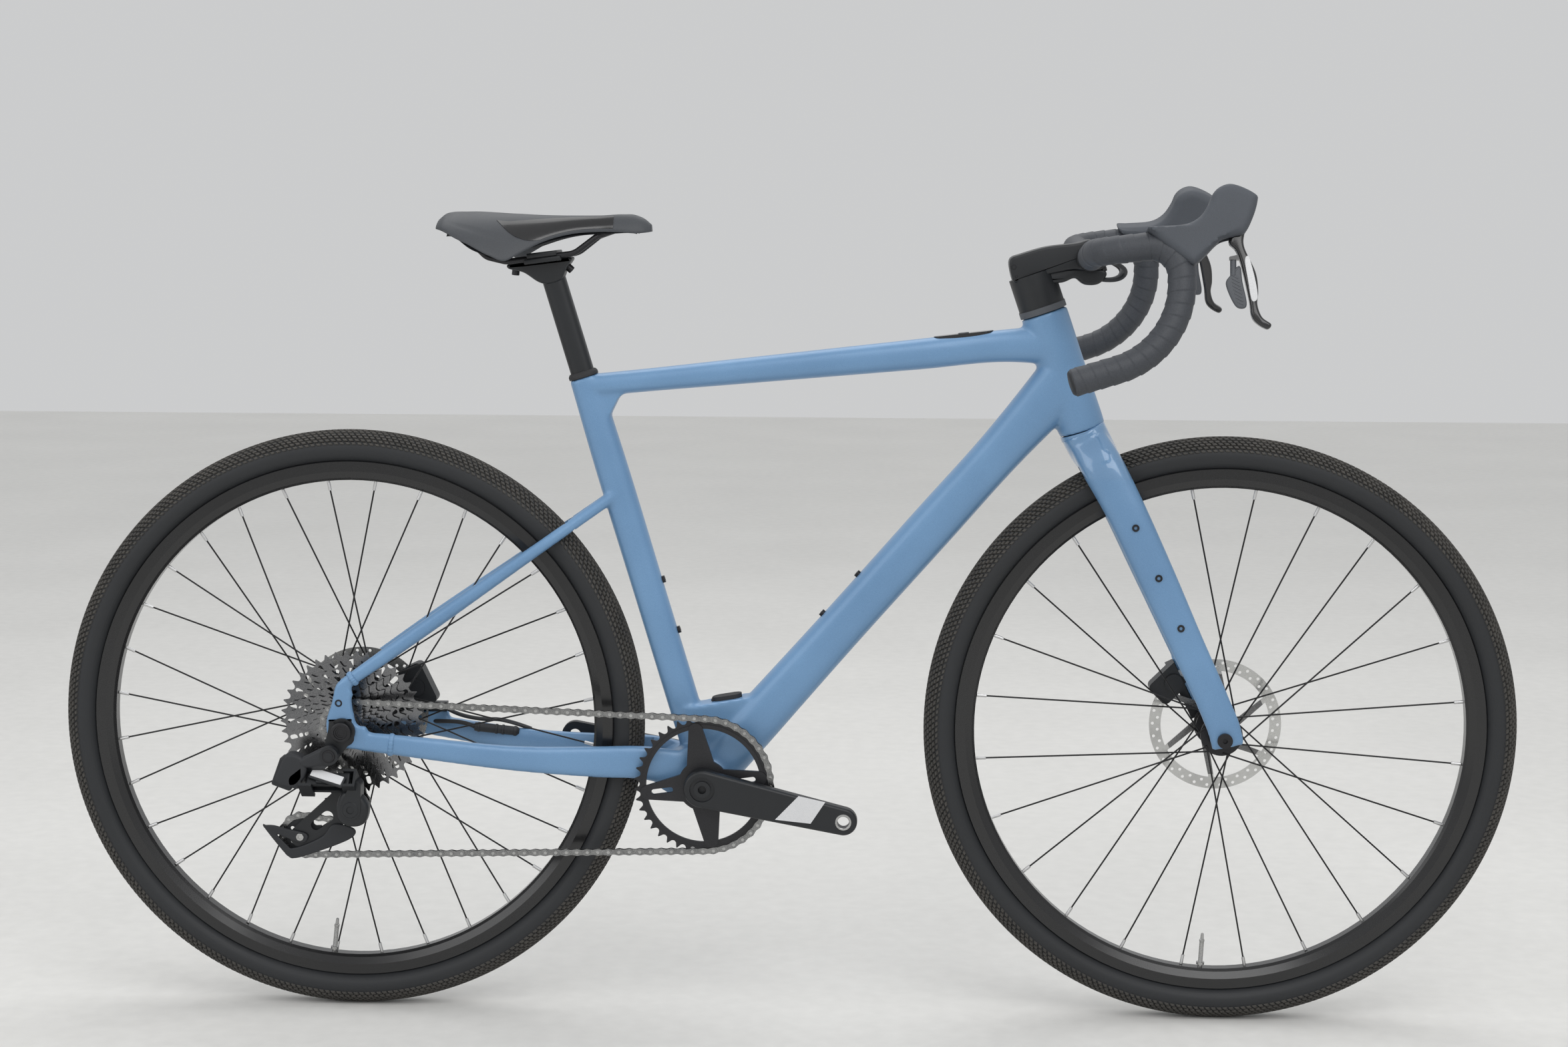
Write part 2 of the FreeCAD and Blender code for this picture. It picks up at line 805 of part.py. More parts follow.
def spoke_set(centre, count, flange_radius, left, right, lean):
    """Crossed spokes: each flange carries leading and trailing spokes on its two faces."""
    spokes = []
    face = flange_thickness / 2 + spoke_radius
    step = 360.0 / count
    for index in range(count):
        flange = left if index % 2 else right
        outward = 1 if flange > 0 else -1
        leading = (index // 2) % 2
        offset = face + 0.3 if leading else -face - 0.3
        rim_angle = 90 + step * (index + 0.5)
        hub_angle = rim_angle + (lean if leading else -lean)
        hub_y = flange - outward * offset
        rim_y = outward * 1.6
        spokes.append(spoke(centre, hub_angle, flange_radius - 3.2, hub_y, rim_angle, rim_y))
    return spokes


def rotor(centre, plane):
    """Ventilated brake disc: drilled band, six swept arms and a splined carrier."""
    low, high = plane - rotor_thickness / 2, plane + rotor_thickness / 2
    band_inner = rotor_radius - 14
    carrier = 26.0
    band = washer(rotor_radius, band_inner, centre, low, high)
    holes = []
    for index in range(30):
        angle = index * 12.0
        for radius, shift in ((rotor_radius - 4.2, 0), (rotor_radius - 9.8, 6)):
            holes.append(across(1.9, centre + polar(angle + shift, radius), low - 1, high + 1))
    arms = []
    for index in range(6):
        root = centre + polar(index * 60, carrier - 2)
        tip = centre + polar(index * 60 + 28, band_inner + 3)
        arms.append(strap(root, 4.2, tip, 3.0, low, high))
    hub = washer(carrier, rotor_seat_radius + seat_clearance, centre, low, high)
    return join(band.cut(holes), hub, *arms)


rotor_seat_radius = 19.0
front_body_radius = 14.0
end_cap_radius = 9.5


def front_hub():
    half = front_axle_width / 2 - turning_gap
    wide = flange_thickness / 2
    bore = axle_radius + running_clearance
    seat = front_rotor_plane - rotor_thickness / 2
    profile = [
        (bore, -half), (end_cap_radius, -half), (end_cap_radius, -half + 8), (front_body_radius, -half + 11),
        (front_body_radius + 2, front_right_flange - wide), (front_flange_radius, front_right_flange - wide),
        (front_flange_radius, front_right_flange + wide), (front_body_radius + 2, front_right_flange + wide),
        (front_body_radius, front_right_flange + 8), (front_body_radius, front_left_flange - 8),
        (front_body_radius + 2, front_left_flange - wide), (front_flange_radius, front_left_flange - wide),
        (front_flange_radius, front_left_flange + wide), (front_body_radius + 2, front_left_flange + wide),
        (rotor_seat_radius + 3, seat - 4), (rotor_seat_radius + 3, seat), (rotor_seat_radius, seat),
        (rotor_seat_radius, seat + rotor_thickness + 1.5), (end_cap_radius, seat + rotor_thickness + 3),
        (end_cap_radius, half), (bore, half),
    ]
    return turned(profile, front_axle)


motor_radius = 42.0
motor_boss_radius = 12.0


def rear_hub():
    """Motor shell with spoke flanges at both ends and the rotor seat on the left."""
    wide = flange_thickness / 2
    inner = motor_radius + turning_gap
    left, right = rear_left_flange, rear_right_flange
    seat = rear_rotor_plane - rotor_thickness / 2
    body = rear_flange_radius - 5
    profile = [
        (freehub_radius + running_clearance, right - 4), (body - 12, right - 4), (body, right - wide),
        (rear_flange_radius, right - wide), (rear_flange_radius, right + wide), (body, right + wide),
        (body, left - wide), (rear_flange_radius, left - wide), (rear_flange_radius, left + wide),
        (body, left + wide), (body - 14, left + 6), (rotor_seat_radius + 3, left + 9),
        (rotor_seat_radius + 3, seat), (rotor_seat_radius, seat),
        (rotor_seat_radius, seat + rotor_thickness + 2), (motor_boss_radius + running_clearance,
                                                          seat + rotor_thickness + 2),
        (motor_boss_radius + running_clearance, left + 2), (inner, left - 2), (inner, right + 1),
        (freehub_radius + running_clearance, right + 1),
    ]
    return turned(profile, rear_axle)


def motor_axle():
    """Fixed through axle, and the stator with the sleeve that carries the cassette."""
    half = rear_axle_width / 2
    hole = axle_radius + running_clearance
    left, right = rear_left_flange, rear_right_flange
    stator = turned([
        (hole, -half), (end_cap_radius + 2, -half), (end_cap_radius + 2, -half + 6),
        (freehub_radius, -half + 6),
        (freehub_radius, right + 2), (motor_radius, right + 3), (motor_radius, left - 4),
        (motor_boss_radius, left + 1), (motor_boss_radius, half), (hole, half),
    ], rear_axle)
    axle = join(across(axle_radius, rear_axle, -hanger_outer, dropout_outer),
                across(10.5, rear_axle, -hanger_outer - 5, -hanger_outer))
    socket = across(4.0, rear_axle, -hanger_outer - 6, -hanger_outer - 1)
    return [stator, axle.cut(socket)]


# Sprockets and chain
def pitch_radius(teeth):
    return chain_pitch / (2 * math.sin(math.pi / teeth))


def tooth_outline(centre, teeth, phase):
    """Roller seats joined by straight flanks and flat tips; phase is the angle of one seat."""
    seat = roller_radius + 0.12
    base = pitch_radius(teeth)
    tip_radius = base + tooth_height
    step = 360.0 / teeth
    starts, bottoms, ends, lefts, rights = [], [], [], [], []
    for index in range(teeth):
        angle = phase + index * step
        roller = centre + polar(angle, base)
        starts.append(roller + polar(angle + 180 + 65, seat))
        bottoms.append(roller + polar(angle + 180, seat))
        ends.append(roller + polar(angle + 180 - 65, seat))
        tip = centre + polar(angle + step / 2, tip_radius)
        sideways = polar(angle + step / 2 + 90, 0.55)
        lefts.append(tip - sideways)
        rights.append(tip + sideways)
    edges = []
    for index in range(teeth):
        after = (index + 1) % teeth
        edges.append(arc(starts[index], bottoms[index], ends[index]))
        edges.append(line(ends[index], lefts[index]))
        edges.append(line(lefts[index], rights[index]))
        edges.append(line(rights[index], starts[after]))
    return Part.Wire(edges)


def circle_wire(centre, radius):
    return Part.Wire([Part.Circle(vec(centre.x, 0, centre.z), Y_AXIS, radius).toShape()])


def slot_wire(centre, angle, near, far, radius):
    """Radial round-ended slot."""
    a, b = centre + polar(angle, near), centre + polar(angle, far)
    side = polar(angle + 90, radius)
    return Part.Wire([
        line(a + side, b + side),
        arc(b + side, b + polar(angle, radius), b - side),
        line(b - side, a - side),
        arc(a - side, a - polar(angle, radius), a + side),
    ])


def toothed_plate(centre, teeth, phase, holes, plane, thickness):
    middle = vec(centre.x, 0, centre.z)
    face = Part.makeFace([tooth_outline(middle, teeth, phase)] + holes, "Part::FaceMakerBullseye")
    return face.translated(Y_AXIS * (plane - thickness / 2)).extrude(Y_AXIS * thickness)


cage_pivot = rear_axle + vec(-cage_pivot_back, 0, -cage_pivot_drop)


def pulley_centres(turn):
    """Guide and tension pulley centres with the cage turned about its pivot."""
    guide = cage_pivot + polar(guide_angle + turn, guide_offset)
    tension = guide + polar(cage_angle + turn, cage_length)
    return guide, tension


cage_angle = 223.8


def chain_loop(turn):
    """Lines and arcs of the pitch line: (centre, radius, spin) circles joined by their tangents."""
    guide, tension = pulley_centres(turn)
    small = pitch_radius(pulley_teeth)
    stops = [
        (crank_axis, pitch_radius(ring_teeth), -1),
        (tension, small, -1),
        (guide, small, 1),
        (rear_axle, pitch_radius(cog_teeth[driven_cog]), -1),
    ]
    circles = [(complex(c.x, c.z), r, s) for c, r, s in stops]
    runs = []
    for (ca, ra, sa), (cb, rb, sb) in zip(circles, circles[1:] + circles[:1]):
        lever = sb * rb - sa * ra
        gap = cb - ca
        length = math.sqrt(abs(gap) ** 2 - lever ** 2)
        heading = gap / complex(length, lever)
        runs.append((ca - sa * ra * 1j * heading, heading, length))
    pieces = []
    for index, (centre, radius, spin) in enumerate(circles):
        begin, heading, length = runs[index - 1]
        entry = begin + heading * length
        leave = runs[index][0]
        turned_by = math.atan2((leave - centre).imag, (leave - centre).real)
        turned_by -= math.atan2((entry - centre).imag, (entry - centre).real)
        sweep = (spin * turned_by) % (2 * math.pi)
        pieces.append((radius * sweep, lambda s, c=centre, e=entry, r=radius, k=spin:
                       c + (e - c) * complex(math.cos(k * s / r), math.sin(k * s / r))))
        pieces.append((runs[index][2], lambda s, b=runs[index][0], h=runs[index][1]: b + h * s))
    return pieces


def loop_point(pieces, s):
    total = sum(length for length, place in pieces)
    s = s % total
    for length, place in pieces:
        if s <= length:
            return place(s)
        s -= length
    return pieces[0][1](0.0)


def walk_rollers(pieces):
    """Roller centres a pitch apart round the loop, and the number of pitches with its fraction."""
    total = sum(length for length, place in pieces)
    start = pieces[0][0] / 2
    s, here = start, loop_point(pieces, start)
    rollers = []
    while True:
        rollers.append(here)
        low, high = s + chain_pitch * 0.9, s + chain_pitch * 1.15
        for attempt in range(40):
            middle = (low + high) / 2
            if abs(loop_point(pieces, middle) - here) < chain_pitch:
                low = middle
            else:
                high = middle
        if low >= start + total - 1e-6:
            left_over = abs(rollers[0] - here)
            return rollers, len(rollers) - 1 + left_over / chain_pitch
        s, here = low, loop_point(pieces, low)


def close_chain():
    """Cage turn at which the loop holds a whole, even number of links, and the rollers there."""
    wanted = 2 * round(walk_rollers(chain_loop(0.0))[1] / 2)
    low, high = -20.0, 20.0
    for attempt in range(46):
        middle = (low + high) / 2
        if walk_rollers(chain_loop(middle))[1] > wanted:
            low = middle
        else:
            high = middle
    return low, walk_rollers(chain_loop(low))[0][:wanted]


cage_turn, chain_rollers = close_chain()
guide_centre, tension_centre = pulley_centres(cage_turn)
print("chain links", len(chain_rollers), "cage turn", round(cage_turn, 3))


def seat_phase(centre, teeth):
    """Angle of a roller that lies on a sprocket's pitch circle."""
    base = pitch_radius(teeth)
    gaps = [(abs(abs(p - complex(centre.x, centre.z)) - base), p) for p in chain_rollers]
    roller = min(gaps, key=lambda gap: gap[0])[1] - complex(centre.x, centre.z)
    return math.degrees(math.atan2(roller.imag, roller.real))


def cog_windows(teeth):
    """Lightening slots of the larger cogs."""
    far = pitch_radius(teeth) - 8.5
    near = freehub_radius + 9.5
    if far - near < 4:
        return []
    middle = vec(rear_axle.x, 0, rear_axle.z)
    count = 9 if teeth < 32 else 12
    wires = [slot_wire(middle, index * 360.0 / count, near, far, 2.7) for index in range(count)]
    if teeth >= 32:
        outer = [slot_wire(middle, (index + 0.5) * 360.0 / count, near + 17, far, 2.7)
                 for index in range(count)]
        wires += outer
    return wires


def cassette():
    bore = freehub_radius + running_clearance
    hole = circle_wire(rear_axle, bore)
    phase = seat_phase(rear_axle, cog_teeth[driven_cog])
    cogs = []
    for index, teeth in enumerate(cog_teeth):
        plane = chain_plane + (index - driven_cog) * cog_spacing
        plate = toothed_plate(rear_axle, teeth, phase, [hole] + cog_windows(teeth), plane, cog_thickness)
        if index < len(cog_teeth) - 1:
            low = plane + cog_thickness / 2
            plate = plate.fuse(washer(bore + 4, bore, rear_axle, low, low + cog_spacing - cog_thickness))
        cogs.append(plate)
    return cogs


ring_plate_low = chain_plane - 3.5
ring_plate_high = chain_plane + 2.5
ring_window_radius = 71.0
ring_boss_radius = 31.0


def chainring():
    """Toothed ring on four arms around the crank boss."""
    hole = circle_wire(crank_axis, ring_window_radius)
    phase = seat_phase(crank_axis, ring_teeth)
    ring = toothed_plate(crank_axis, ring_teeth, phase, [hole], chain_plane, ring_thickness)
    arms = []
    for index in range(4):
        tip = crank_axis + polar(8 + 90 * index, ring_window_radius - 3)
        arm = strap(crank_axis, 21.0, tip, 8.5, ring_plate_low, ring_plate_high - 1)
        if index % 2 == 0:
            slot = Part.Face(slot_wire(vec(crank_axis.x, 0, crank_axis.z), 8 + 90 * index, 40, 60, 3.2))
            arm = arm.cut(slot.translated(Y_AXIS * (ring_plate_low - 1)).extrude(Y_AXIS * 9))
        arms.append(arm)
    boss = across(ring_boss_radius, crank_axis, ring_plate_low, ring_plate_high)
    bore = across(spindle_radius + seat_clearance, crank_axis, ring_plate_low - 1, ring_plate_high + 1)
    lip = washer(ring_window_radius + 3, ring_window_radius - 2, crank_axis,
                 chain_plane - 1.8, chain_plane + 1.8)
    return join(ring, boss, lip, *arms).cut(bore)


pedal_axis = crank_axis + polar(-crank_tilt, crank_length)


def soft_edges(shape, plane, radius):
    """Rounds the edges that lie in a side plane."""
    boxes = [(e, e.BoundBox) for e in shape.Edges]
    rim_edges = [e for e, box in boxes if abs(box.YMin - plane) < 0.01 and abs(box.YMax - plane) < 0.01]
    return shape.makeFillet(radius, rim_edges)


def crank_arms():
    """Right arm, left arm and the spindle that both sit on."""
    outer = crank_plane + crank_thickness
    bar = strap(crank_axis, crank_boss_radius, pedal_axis, crank_tip_radius, -outer, -crank_plane)
    bar = soft_edges(bar, -outer, 4.0)
    boss = across(crank_boss_radius, crank_axis, -crank_plane - 1, ring_plate_low)
    spindle = across(spindle_radius, crank_axis, -crank_plane, crank_plane)
    hole = across(pedal_hole_radius, pedal_axis, -outer - 1, -crank_plane + 1)
    recess = washer(15.0, 10.0, crank_axis, -outer - 1, -outer + 2.5)
    key = across(5.0, crank_axis, -outer - 1, -outer + 6)
    bore = across(spindle_radius + seat_clearance, crank_axis, -crank_plane, crank_plane)
    right = join(bar, boss).cut([hole, recess, key, bore])
    far = crank_axis - polar(-crank_tilt, crank_length)
    left = strap(crank_axis, crank_boss_radius, far, crank_tip_radius, crank_plane, outer)
    left = soft_edges(left, outer, 4.0)
    collar = across(crank_boss_radius, crank_axis,
                    bracket_half_width + cup_width + turning_gap, crank_plane + 1)
    left_hole = across(pedal_hole_radius, far, crank_plane - 1, outer + 1)
    left = join(left, collar).cut([bore, left_hole])
    return [right, left, spindle]


plate_inner = inner_width / 2
plate_gap = 0.08
outer_plate_low = plate_inner + plate_thickness + plate_gap
chain_edge = outer_plate_low + plate_thickness


def link_plate(low, high):
    return strap(vec(0, 0, 0), plate_radius, vec(chain_pitch, 0, 0), plate_radius - 1e-6, low, high)


def inner_link():
    """Two plates with two rollers between them."""
    ends = (vec(0, 0, 0), vec(chain_pitch, 0, 0))
    plates = [link_plate(plate_inner, plate_inner + plate_thickness),
              link_plate(-plate_inner - plate_thickness, -plate_inner)]
    rollers = [across(roller_radius, p, -plate_inner, plate_inner) for p in ends]
    holes = [across(pin_radius + 0.1, p, -9, 9) for p in ends]
    return join(*plates, *rollers).cut(holes)


def outer_link():
    """Two plates with their pins."""
    ends = (vec(0, 0, 0), vec(chain_pitch, 0, 0))
    plates = [link_plate(outer_plate_low, chain_edge), link_plate(-chain_edge, -outer_plate_low)]
    pins = [across(pin_radius, p, -chain_edge, chain_edge) for p in ends]
    return join(*plates, *pins)


def chain():
    masters = (inner_link(), outer_link())
    links = []
    for index, here in enumerate(chain_rollers):
        after = chain_rollers[(index + 1) % len(chain_rollers)]
        heading = math.degrees(math.atan2((after - here).imag, (after - here).real))
        link = masters[index % 2].copy()
        link.Placement = FreeCAD.Placement(vec(here.real, chain_plane, here.imag),
                                           FreeCAD.Rotation(Y_AXIS, -heading))
        links.append(link)
    return links


# Rear derailleur
link_normal = vec(0, math.cos(math.radians(link_slant)), -math.sin(math.radians(link_slant)))
link_axis = vec(0, math.sin(math.radians(link_slant)), math.cos(math.radians(link_slant)))
link_rear = rear_axle + vec(-link_back, link_plane, -link_drop)
link_front = link_rear + X_AXIS * link_length
lug_thickness = 3.5
lug_low = link_width / 2 + 0.3
lug_high = lug_low + lug_thickness


def link_pivots(end):
    return [end - link_normal * (link_gap / 2), end + link_normal * (link_gap / 2)]


def clevis(end, outward):
    """Two lugs joined by a web, with the pins of both links."""
    reach = 10.0
    length = reach + 6.0
    middle = end + X_AXIS * (outward * (reach - 6.0) / 2)
    span = link_gap + 13.0
    lugs = [turned_block(middle + link_axis * (side * (lug_low + lug_thickness / 2)), X_AXIS, link_normal,
                         length, span, lug_thickness) for side in (-1, 1)]
    web = turned_block(end + X_AXIS * (outward * (reach - 1.5)), X_AXIS, link_normal, 3.0, span, 2 * lug_high)
    pins = [cylinder(link_pin_radius, p - link_axis * lug_high, p + link_axis * lug_high)
            for p in link_pivots(end)]
    return join(web, *lugs, *pins)


def derailleur_link(offset):
    """Flat link with rounded ends, bored for the pins of both knuckles."""
    rear = link_rear + link_normal * offset
    front = link_front + link_normal * offset
    plate = obround((rear + front) * 0.5, X_AXIS, link_axis, link_length + link_thickness, link_thickness,
                    -link_width / 2, link_width / 2)
    holes = [cylinder(link_pin_radius + running_clearance, p - link_axis * 30, p + link_axis * 30)
             for p in (rear, front)]
    return plate.cut(holes)


def outer_link_cover():
    """Shaped cover plate on the outer face of the outer link."""
    centre = (link_rear + link_front) * 0.5 - link_normal * (link_gap / 2 + link_thickness / 2 + 1.5)
    return turned_block(centre, X_AXIS, link_axis, link_length - 22, link_width - 3, 3.0)


def derailleur_body():
    """B-knuckle on the hanger, with the removable battery behind it."""
    barrel = across(11.0, hanger_pivot, -hanger_outer - 14, -hanger_outer)
    bolt = across(hanger_bolt_radius, hanger_pivot, -hanger_outer - 16, -dropout_outer)
    web = link_rear - X_AXIS * 8.5
    low_face = -hanger_outer - 13
    arm = strap(hanger_pivot, 9.0, web + vec(-4, 0, 4), 9.0, low_face, -hanger_outer - 2)
    knuckle = join(barrel, bolt, arm.cut(swing_room(link_rear, 1)), clevis(link_rear, -1))
    tilt = polar(70)
    battery = turned_block(rear_axle + vec(-66, -84, -50), tilt, Y_AXIS, 36, 22, 25)
    battery = battery.makeFillet(3.0, battery.Edges)
    return [knuckle, battery.cut(knuckle)]


def derailleur_p_knuckle():
    """Barrel that holds the cage pivot, joined to the front ends of the links."""
    inner_face = chain_plane - cage_gap / 2 - cage_plate_thickness - 0.4
    barrel = across(15.0, cage_pivot, -84, inner_face)
    barrel = soft_edges(barrel, -84, 4.0)
    shoulder = link_front + X_AXIS * 9
    arm = strap(shoulder + vec(0, 0, -2), 7.0, cage_pivot, 12.0, -92, -72)
    bore = across(cage_pin_radius + running_clearance, cage_pivot, inner_face - 14, inner_face + 1)
    return join(barrel, arm.cut(swing_room(link_front, -1)), clevis(link_front, 1)).cut(bore)


cage_pin_radius = 6.0


def swing_room(end, outward):
    """Space that the links need beside a knuckle, between its lugs."""
    middle = end + X_AXIS * (outward * 20)
    return turned_block(middle, X_AXIS, link_normal, 54, 60, 2 * lug_low)


pulley_pin_radius = 3.0


def derailleur_cage():
    half = cage_gap / 2
    low_outer = chain_plane - half - cage_plate_thickness
    high_inner = chain_plane + half + cage_plate_thickness
    outer = strap(guide_centre, 20.5, tension_centre, 13.0, low_outer, chain_plane - half)
    inner = strap(guide_centre, 14.0, tension_centre, 13.0, chain_plane + half, high_inner)
    window = strap(guide_centre + (tension_centre - guide_centre) * 0.4, 7.0,
                   guide_centre + (tension_centre - guide_centre) * 0.66, 6.0,
                   low_outer - 20, high_inner + 20)
    pins = [across(pulley_pin_radius, p, low_outer, high_inner) for p in (guide_centre, tension_centre)]
    pivot = across(cage_pin_radius, cage_pivot, low_outer - 13, low_outer)
    return join(outer.cut(window), inner.cut(window), pivot, *pins)


def pulley(centre):
    bore = pulley_pin_radius + running_clearance
    windows = [slot_wire(vec(centre.x, 0, centre.z), index * 72.0, 11.5, 14.0, 2.4) for index in range(5)]
    plate = toothed_plate(centre, pulley_teeth, seat_phase(centre, pulley_teeth),
                          [circle_wire(centre, bore)] + windows, chain_plane, ring_thickness)
    half = cage_gap / 2 - 0.25
    return join(plate, washer(6.5, bore, centre, chain_plane - half, chain_plane + half))


rear_lean = 42.0
front_lean = 62.0
save("front_tyre", tyre(front_axle))
save("rear_tyre", tyre(rear_axle))
save("front_rim", rim(front_axle))
save("rear_rim", rim(rear_axle))
save("front_spokes", *spoke_set(front_axle, front_spoke_count, front_flange_radius,
                                front_left_flange, front_right_flange, front_lean))
save("rear_spokes", *spoke_set(rear_axle, rear_spoke_count, rear_flange_radius,
                               rear_left_flange, rear_right_flange, rear_lean))
save("front_hub", front_hub())
save("rear_hub", rear_hub())
save("front_rotor", rotor(front_axle, front_rotor_plane))
save("rear_rotor", rotor(rear_axle, rear_rotor_plane))
save("motor_axle", *motor_axle())
save("cassette", *cassette())
save("chainring", chainring())
save("crank_arms", *crank_arms())
save("chain", *chain())
save("derailleur_body", *derailleur_body())
save("derailleur_outer_link", join(derailleur_link(-link_gap / 2), outer_link_cover()))
save("derailleur_inner_link", derailleur_link(link_gap / 2))
save("derailleur_p_knuckle", derailleur_p_knuckle())
save("derailleur_cage", derailleur_cage())
save("guide_pulley", pulley(guide_centre))
save("tension_pulley", pulley(tension_centre))


# Fork
slot_radius = tyre_radius + 9.0
slot_half_width = tyre_width / 2 + 7.0
leg_spread = (30.0, 41.0, 48.0, 53.0, 57.0, 57.5)
leg_thickness = (38.0, 29.0, 24.0, 19.5, 15.0, 13.0)
leg_depth = (56.0, 49.0, 44.0, 38.0, 32.0, 24.0)
leg_line = [front_axle + vec(x, 0, z) for x, z in
            ((-158, 338), (-126.7, 275), (-83.5, 190), (-46.2, 113), (-8.2, 36), (0.5, 12))]
leg_along = (leg_line[4] - leg_line[1]).normalize()
leg_rear = vec(leg_along.z, 0, -leg_along.x)
fork_tip_radius = 15.0
fork_tip_inner = front_axle_width / 2
fork_tip_outer = fork_tip_inner + 16.0
boss_shares = ((-109.2, 251), (-81.2, 192), (-54.2, 133))


def leg_boss(offset):
    """Surface point on the outer side of the right leg for an accessory bolt."""
    height = offset[1]
    spread = 40.9 + (275 - height) * 0.067
    half = 14.6 - (275 - height) * 0.0300
    return front_axle + vec(offset[0], -spread - half + 0.5, height)


boss_places = [leg_boss(offset) for offset in boss_shares]
fork_bolts = [bolt_at(p, -Y_AXIS, 6.0) for p in boss_places]
fork_bolt_rooms = [bolt_room(p, -Y_AXIS, 6.3) for p in boss_places]
brake_mount_middle = vec(front_axle.x - 15.6, 0, front_axle.z + 50.9)
brake_mount_depth = 21.0
steerer_top = head_tube_length + spacer_height + 36.0


def fork_leg():
    sections = []
    points = [vec(p.x, -y, p.z) for p, y in zip(leg_line, leg_spread)]
    for centre, width, depth in zip(points, leg_thickness, leg_depth):
        sections.append(oval(centre, leg_along, width, depth, 2.6))
    tip = across(fork_tip_radius, front_axle, -fork_tip_outer, -fork_tip_inner)
    return join(loft(sections), tip)


def brake_foot_block(low, high, length, inset=0.0):
    """Block on the rear face of the left leg, between two distances behind the leg's centre line."""
    middle = brake_mount_middle + leg_rear * ((low + high) / 2) + Y_AXIS * 55.5
    return turned_block(middle, leg_along, Y_AXIS, length, 19.0 - inset, high - low)


def fork():
    sizes = ((0.5, 54, 54), (16, 66, 56), (34, 90, 59), (54, 108, 58), (76, 110, 54))
    crown = loft([oval(head_low - head_up * down, head_up, width, depth, 2.5)
                  for down, width, depth in sizes])
    slot = across(slot_radius, front_axle, -slot_half_width, slot_half_width)
    right_side = block(vec(0, -200, 0), vec(900, 0, 1100))
    half = crown.cut(slot).fuse(fork_leg().cut(slot)).common(right_side)
    pair = join(*both_sides(half))
    steerer = cylinder(steerer_radius, head_low - head_up * 12, head_low + head_up * steerer_top)
    race = cylinder(crown_race_radius, head_low - head_up * 6, head_low + head_up * bearing_height)
    mount = brake_foot_block(2, brake_mount_depth, 84).common(block(vec(0, 0, 0), vec(900, 90, 900)))
    whole = join(pair, steerer, race, mount)
    axle = across(axle_radius + running_clearance, front_axle, -90, 90)
    inner_gap = block(vec(front_axle.x - 30, -fork_tip_inner, front_axle.z - 30),
                      vec(front_axle.x + 30, fork_tip_inner, front_axle.z + 26))
    rooms = [room for item in fork_bolt_rooms for room in both_sides(item)]
    bore = cylinder(steerer_radius - 3, head_low + head_up * 20, head_low + head_up * (steerer_top + 5))
    return whole.cut([axle, inner_gap, bore] + rooms)


def front_axle_bolt():
    head = across(9.0, front_axle, -fork_tip_outer - 4, -fork_tip_outer)
    shaft = across(axle_radius, front_axle, -fork_tip_outer, fork_tip_outer)
    key = across(3.0, front_axle, -fork_tip_outer - 5, -fork_tip_outer - 1)
    return join(head, shaft).cut(key)


# Stem and spacers
stem_low = head_tube_length + turning_gap + spacer_height
stem_height = 40.0
stem_clamp_radius = 21.0


def along_head(t):
    return head_low + head_up * t


bar_centre = along_head(stem_low + stem_height / 2) + head_front * stem_reach - head_up * stem_fall


def headset_spacers():
    edges = (0.0, 8.0, 17.0, 26.0, spacer_height)
    base = head_tube_length + turning_gap
    rings = []
    for low, high in zip(edges, edges[1:]):
        radius = spacer_radius + (0.6 if low == 0 else 0)
        rings.append(sleeve(radius, steerer_radius + seat_clearance,
                            along_head(base + low), along_head(base + high)))
    return rings


def stem():
    """Angled clamp from the steerer to the handlebar, with the hose cover under its nose."""
    middle = along_head(stem_low + stem_height / 2)
    clamp = cylinder(stem_clamp_radius, along_head(stem_low), along_head(stem_low + stem_height))
    body = strap(middle, 18.0, bar_centre, stem_clamp_radius - 3, -stem_width / 2, stem_width / 2)
    nose = across(stem_clamp_radius, bar_centre, -stem_width / 2 - 2, stem_width / 2 + 2)
    cover = polygon_plate([bar_centre + vec(x, 0, z) for x, z in
                           ((-34, -27), (-15, -25), (-9, -32), (11, -32), (19, -16), (10, -8), (-30, -12))],
                          -16, 16)
    under = cylinder(60, along_head(stem_low - 30), along_head(stem_low))
    over = cylinder(40, along_head(stem_low + stem_height), along_head(stem_low + stem_height + 30))
    solid = join(clamp, body, nose, cover)
    hole = cylinder(steerer_radius + seat_clearance,
                    along_head(stem_low - 5), along_head(stem_low + stem_height - 3))
    grip = across(bar_clamp_radius + seat_clearance, bar_centre, -40, 40)
    split = block(bar_centre + vec(-1, -40, 14), bar_centre + vec(0.2, 40, 40))
    return solid.cut([under, over, hole, grip, split])


# Handlebar and tape
bar_corners = [
    bar_centre,
    bar_centre + vec(-1, -50, 0),
    bar_centre + vec(-6, 6 - bar_half_width, 10),
    bar_centre + vec(88, -bar_half_width, 20),
    bar_centre + vec(88, -bar_half_width - 25, -97),
    bar_centre + vec(-32, -bar_half_width - 33, -133),
]
bar_bends = (60.0, 40.0, 34.0, 100.0)
bar_path = route(bar_corners, bar_bends)
bar_wall = 2.0
tape_start = 78.0


def handlebar():
    clamp = across(bar_clamp_radius, bar_centre, -34, 34)
    tubes = join(clamp, *both_sides(pipe(bar_path, bar_radius)))
    bores = both_sides(pipe(bar_path, bar_radius - bar_wall))
    return tubes.cut(join(*bores))


def path_place(distance):
    """Point and heading at a distance along the bar path."""
    for edge in bar_path.OrderedEdges:
        if distance <= edge.Length:
            forward = edge.Orientation == "Forward"
            at = edge.getParameterByLength(distance if forward else edge.Length - distance)
            heading = edge.tangentAt(at)
            return edge.valueAt(at), heading if forward else heading * -1
        distance -= edge.Length
    edge = bar_path.OrderedEdges[-1]
    return edge.valueAt(edge.LastParameter), edge.tangentAt(edge.LastParameter)


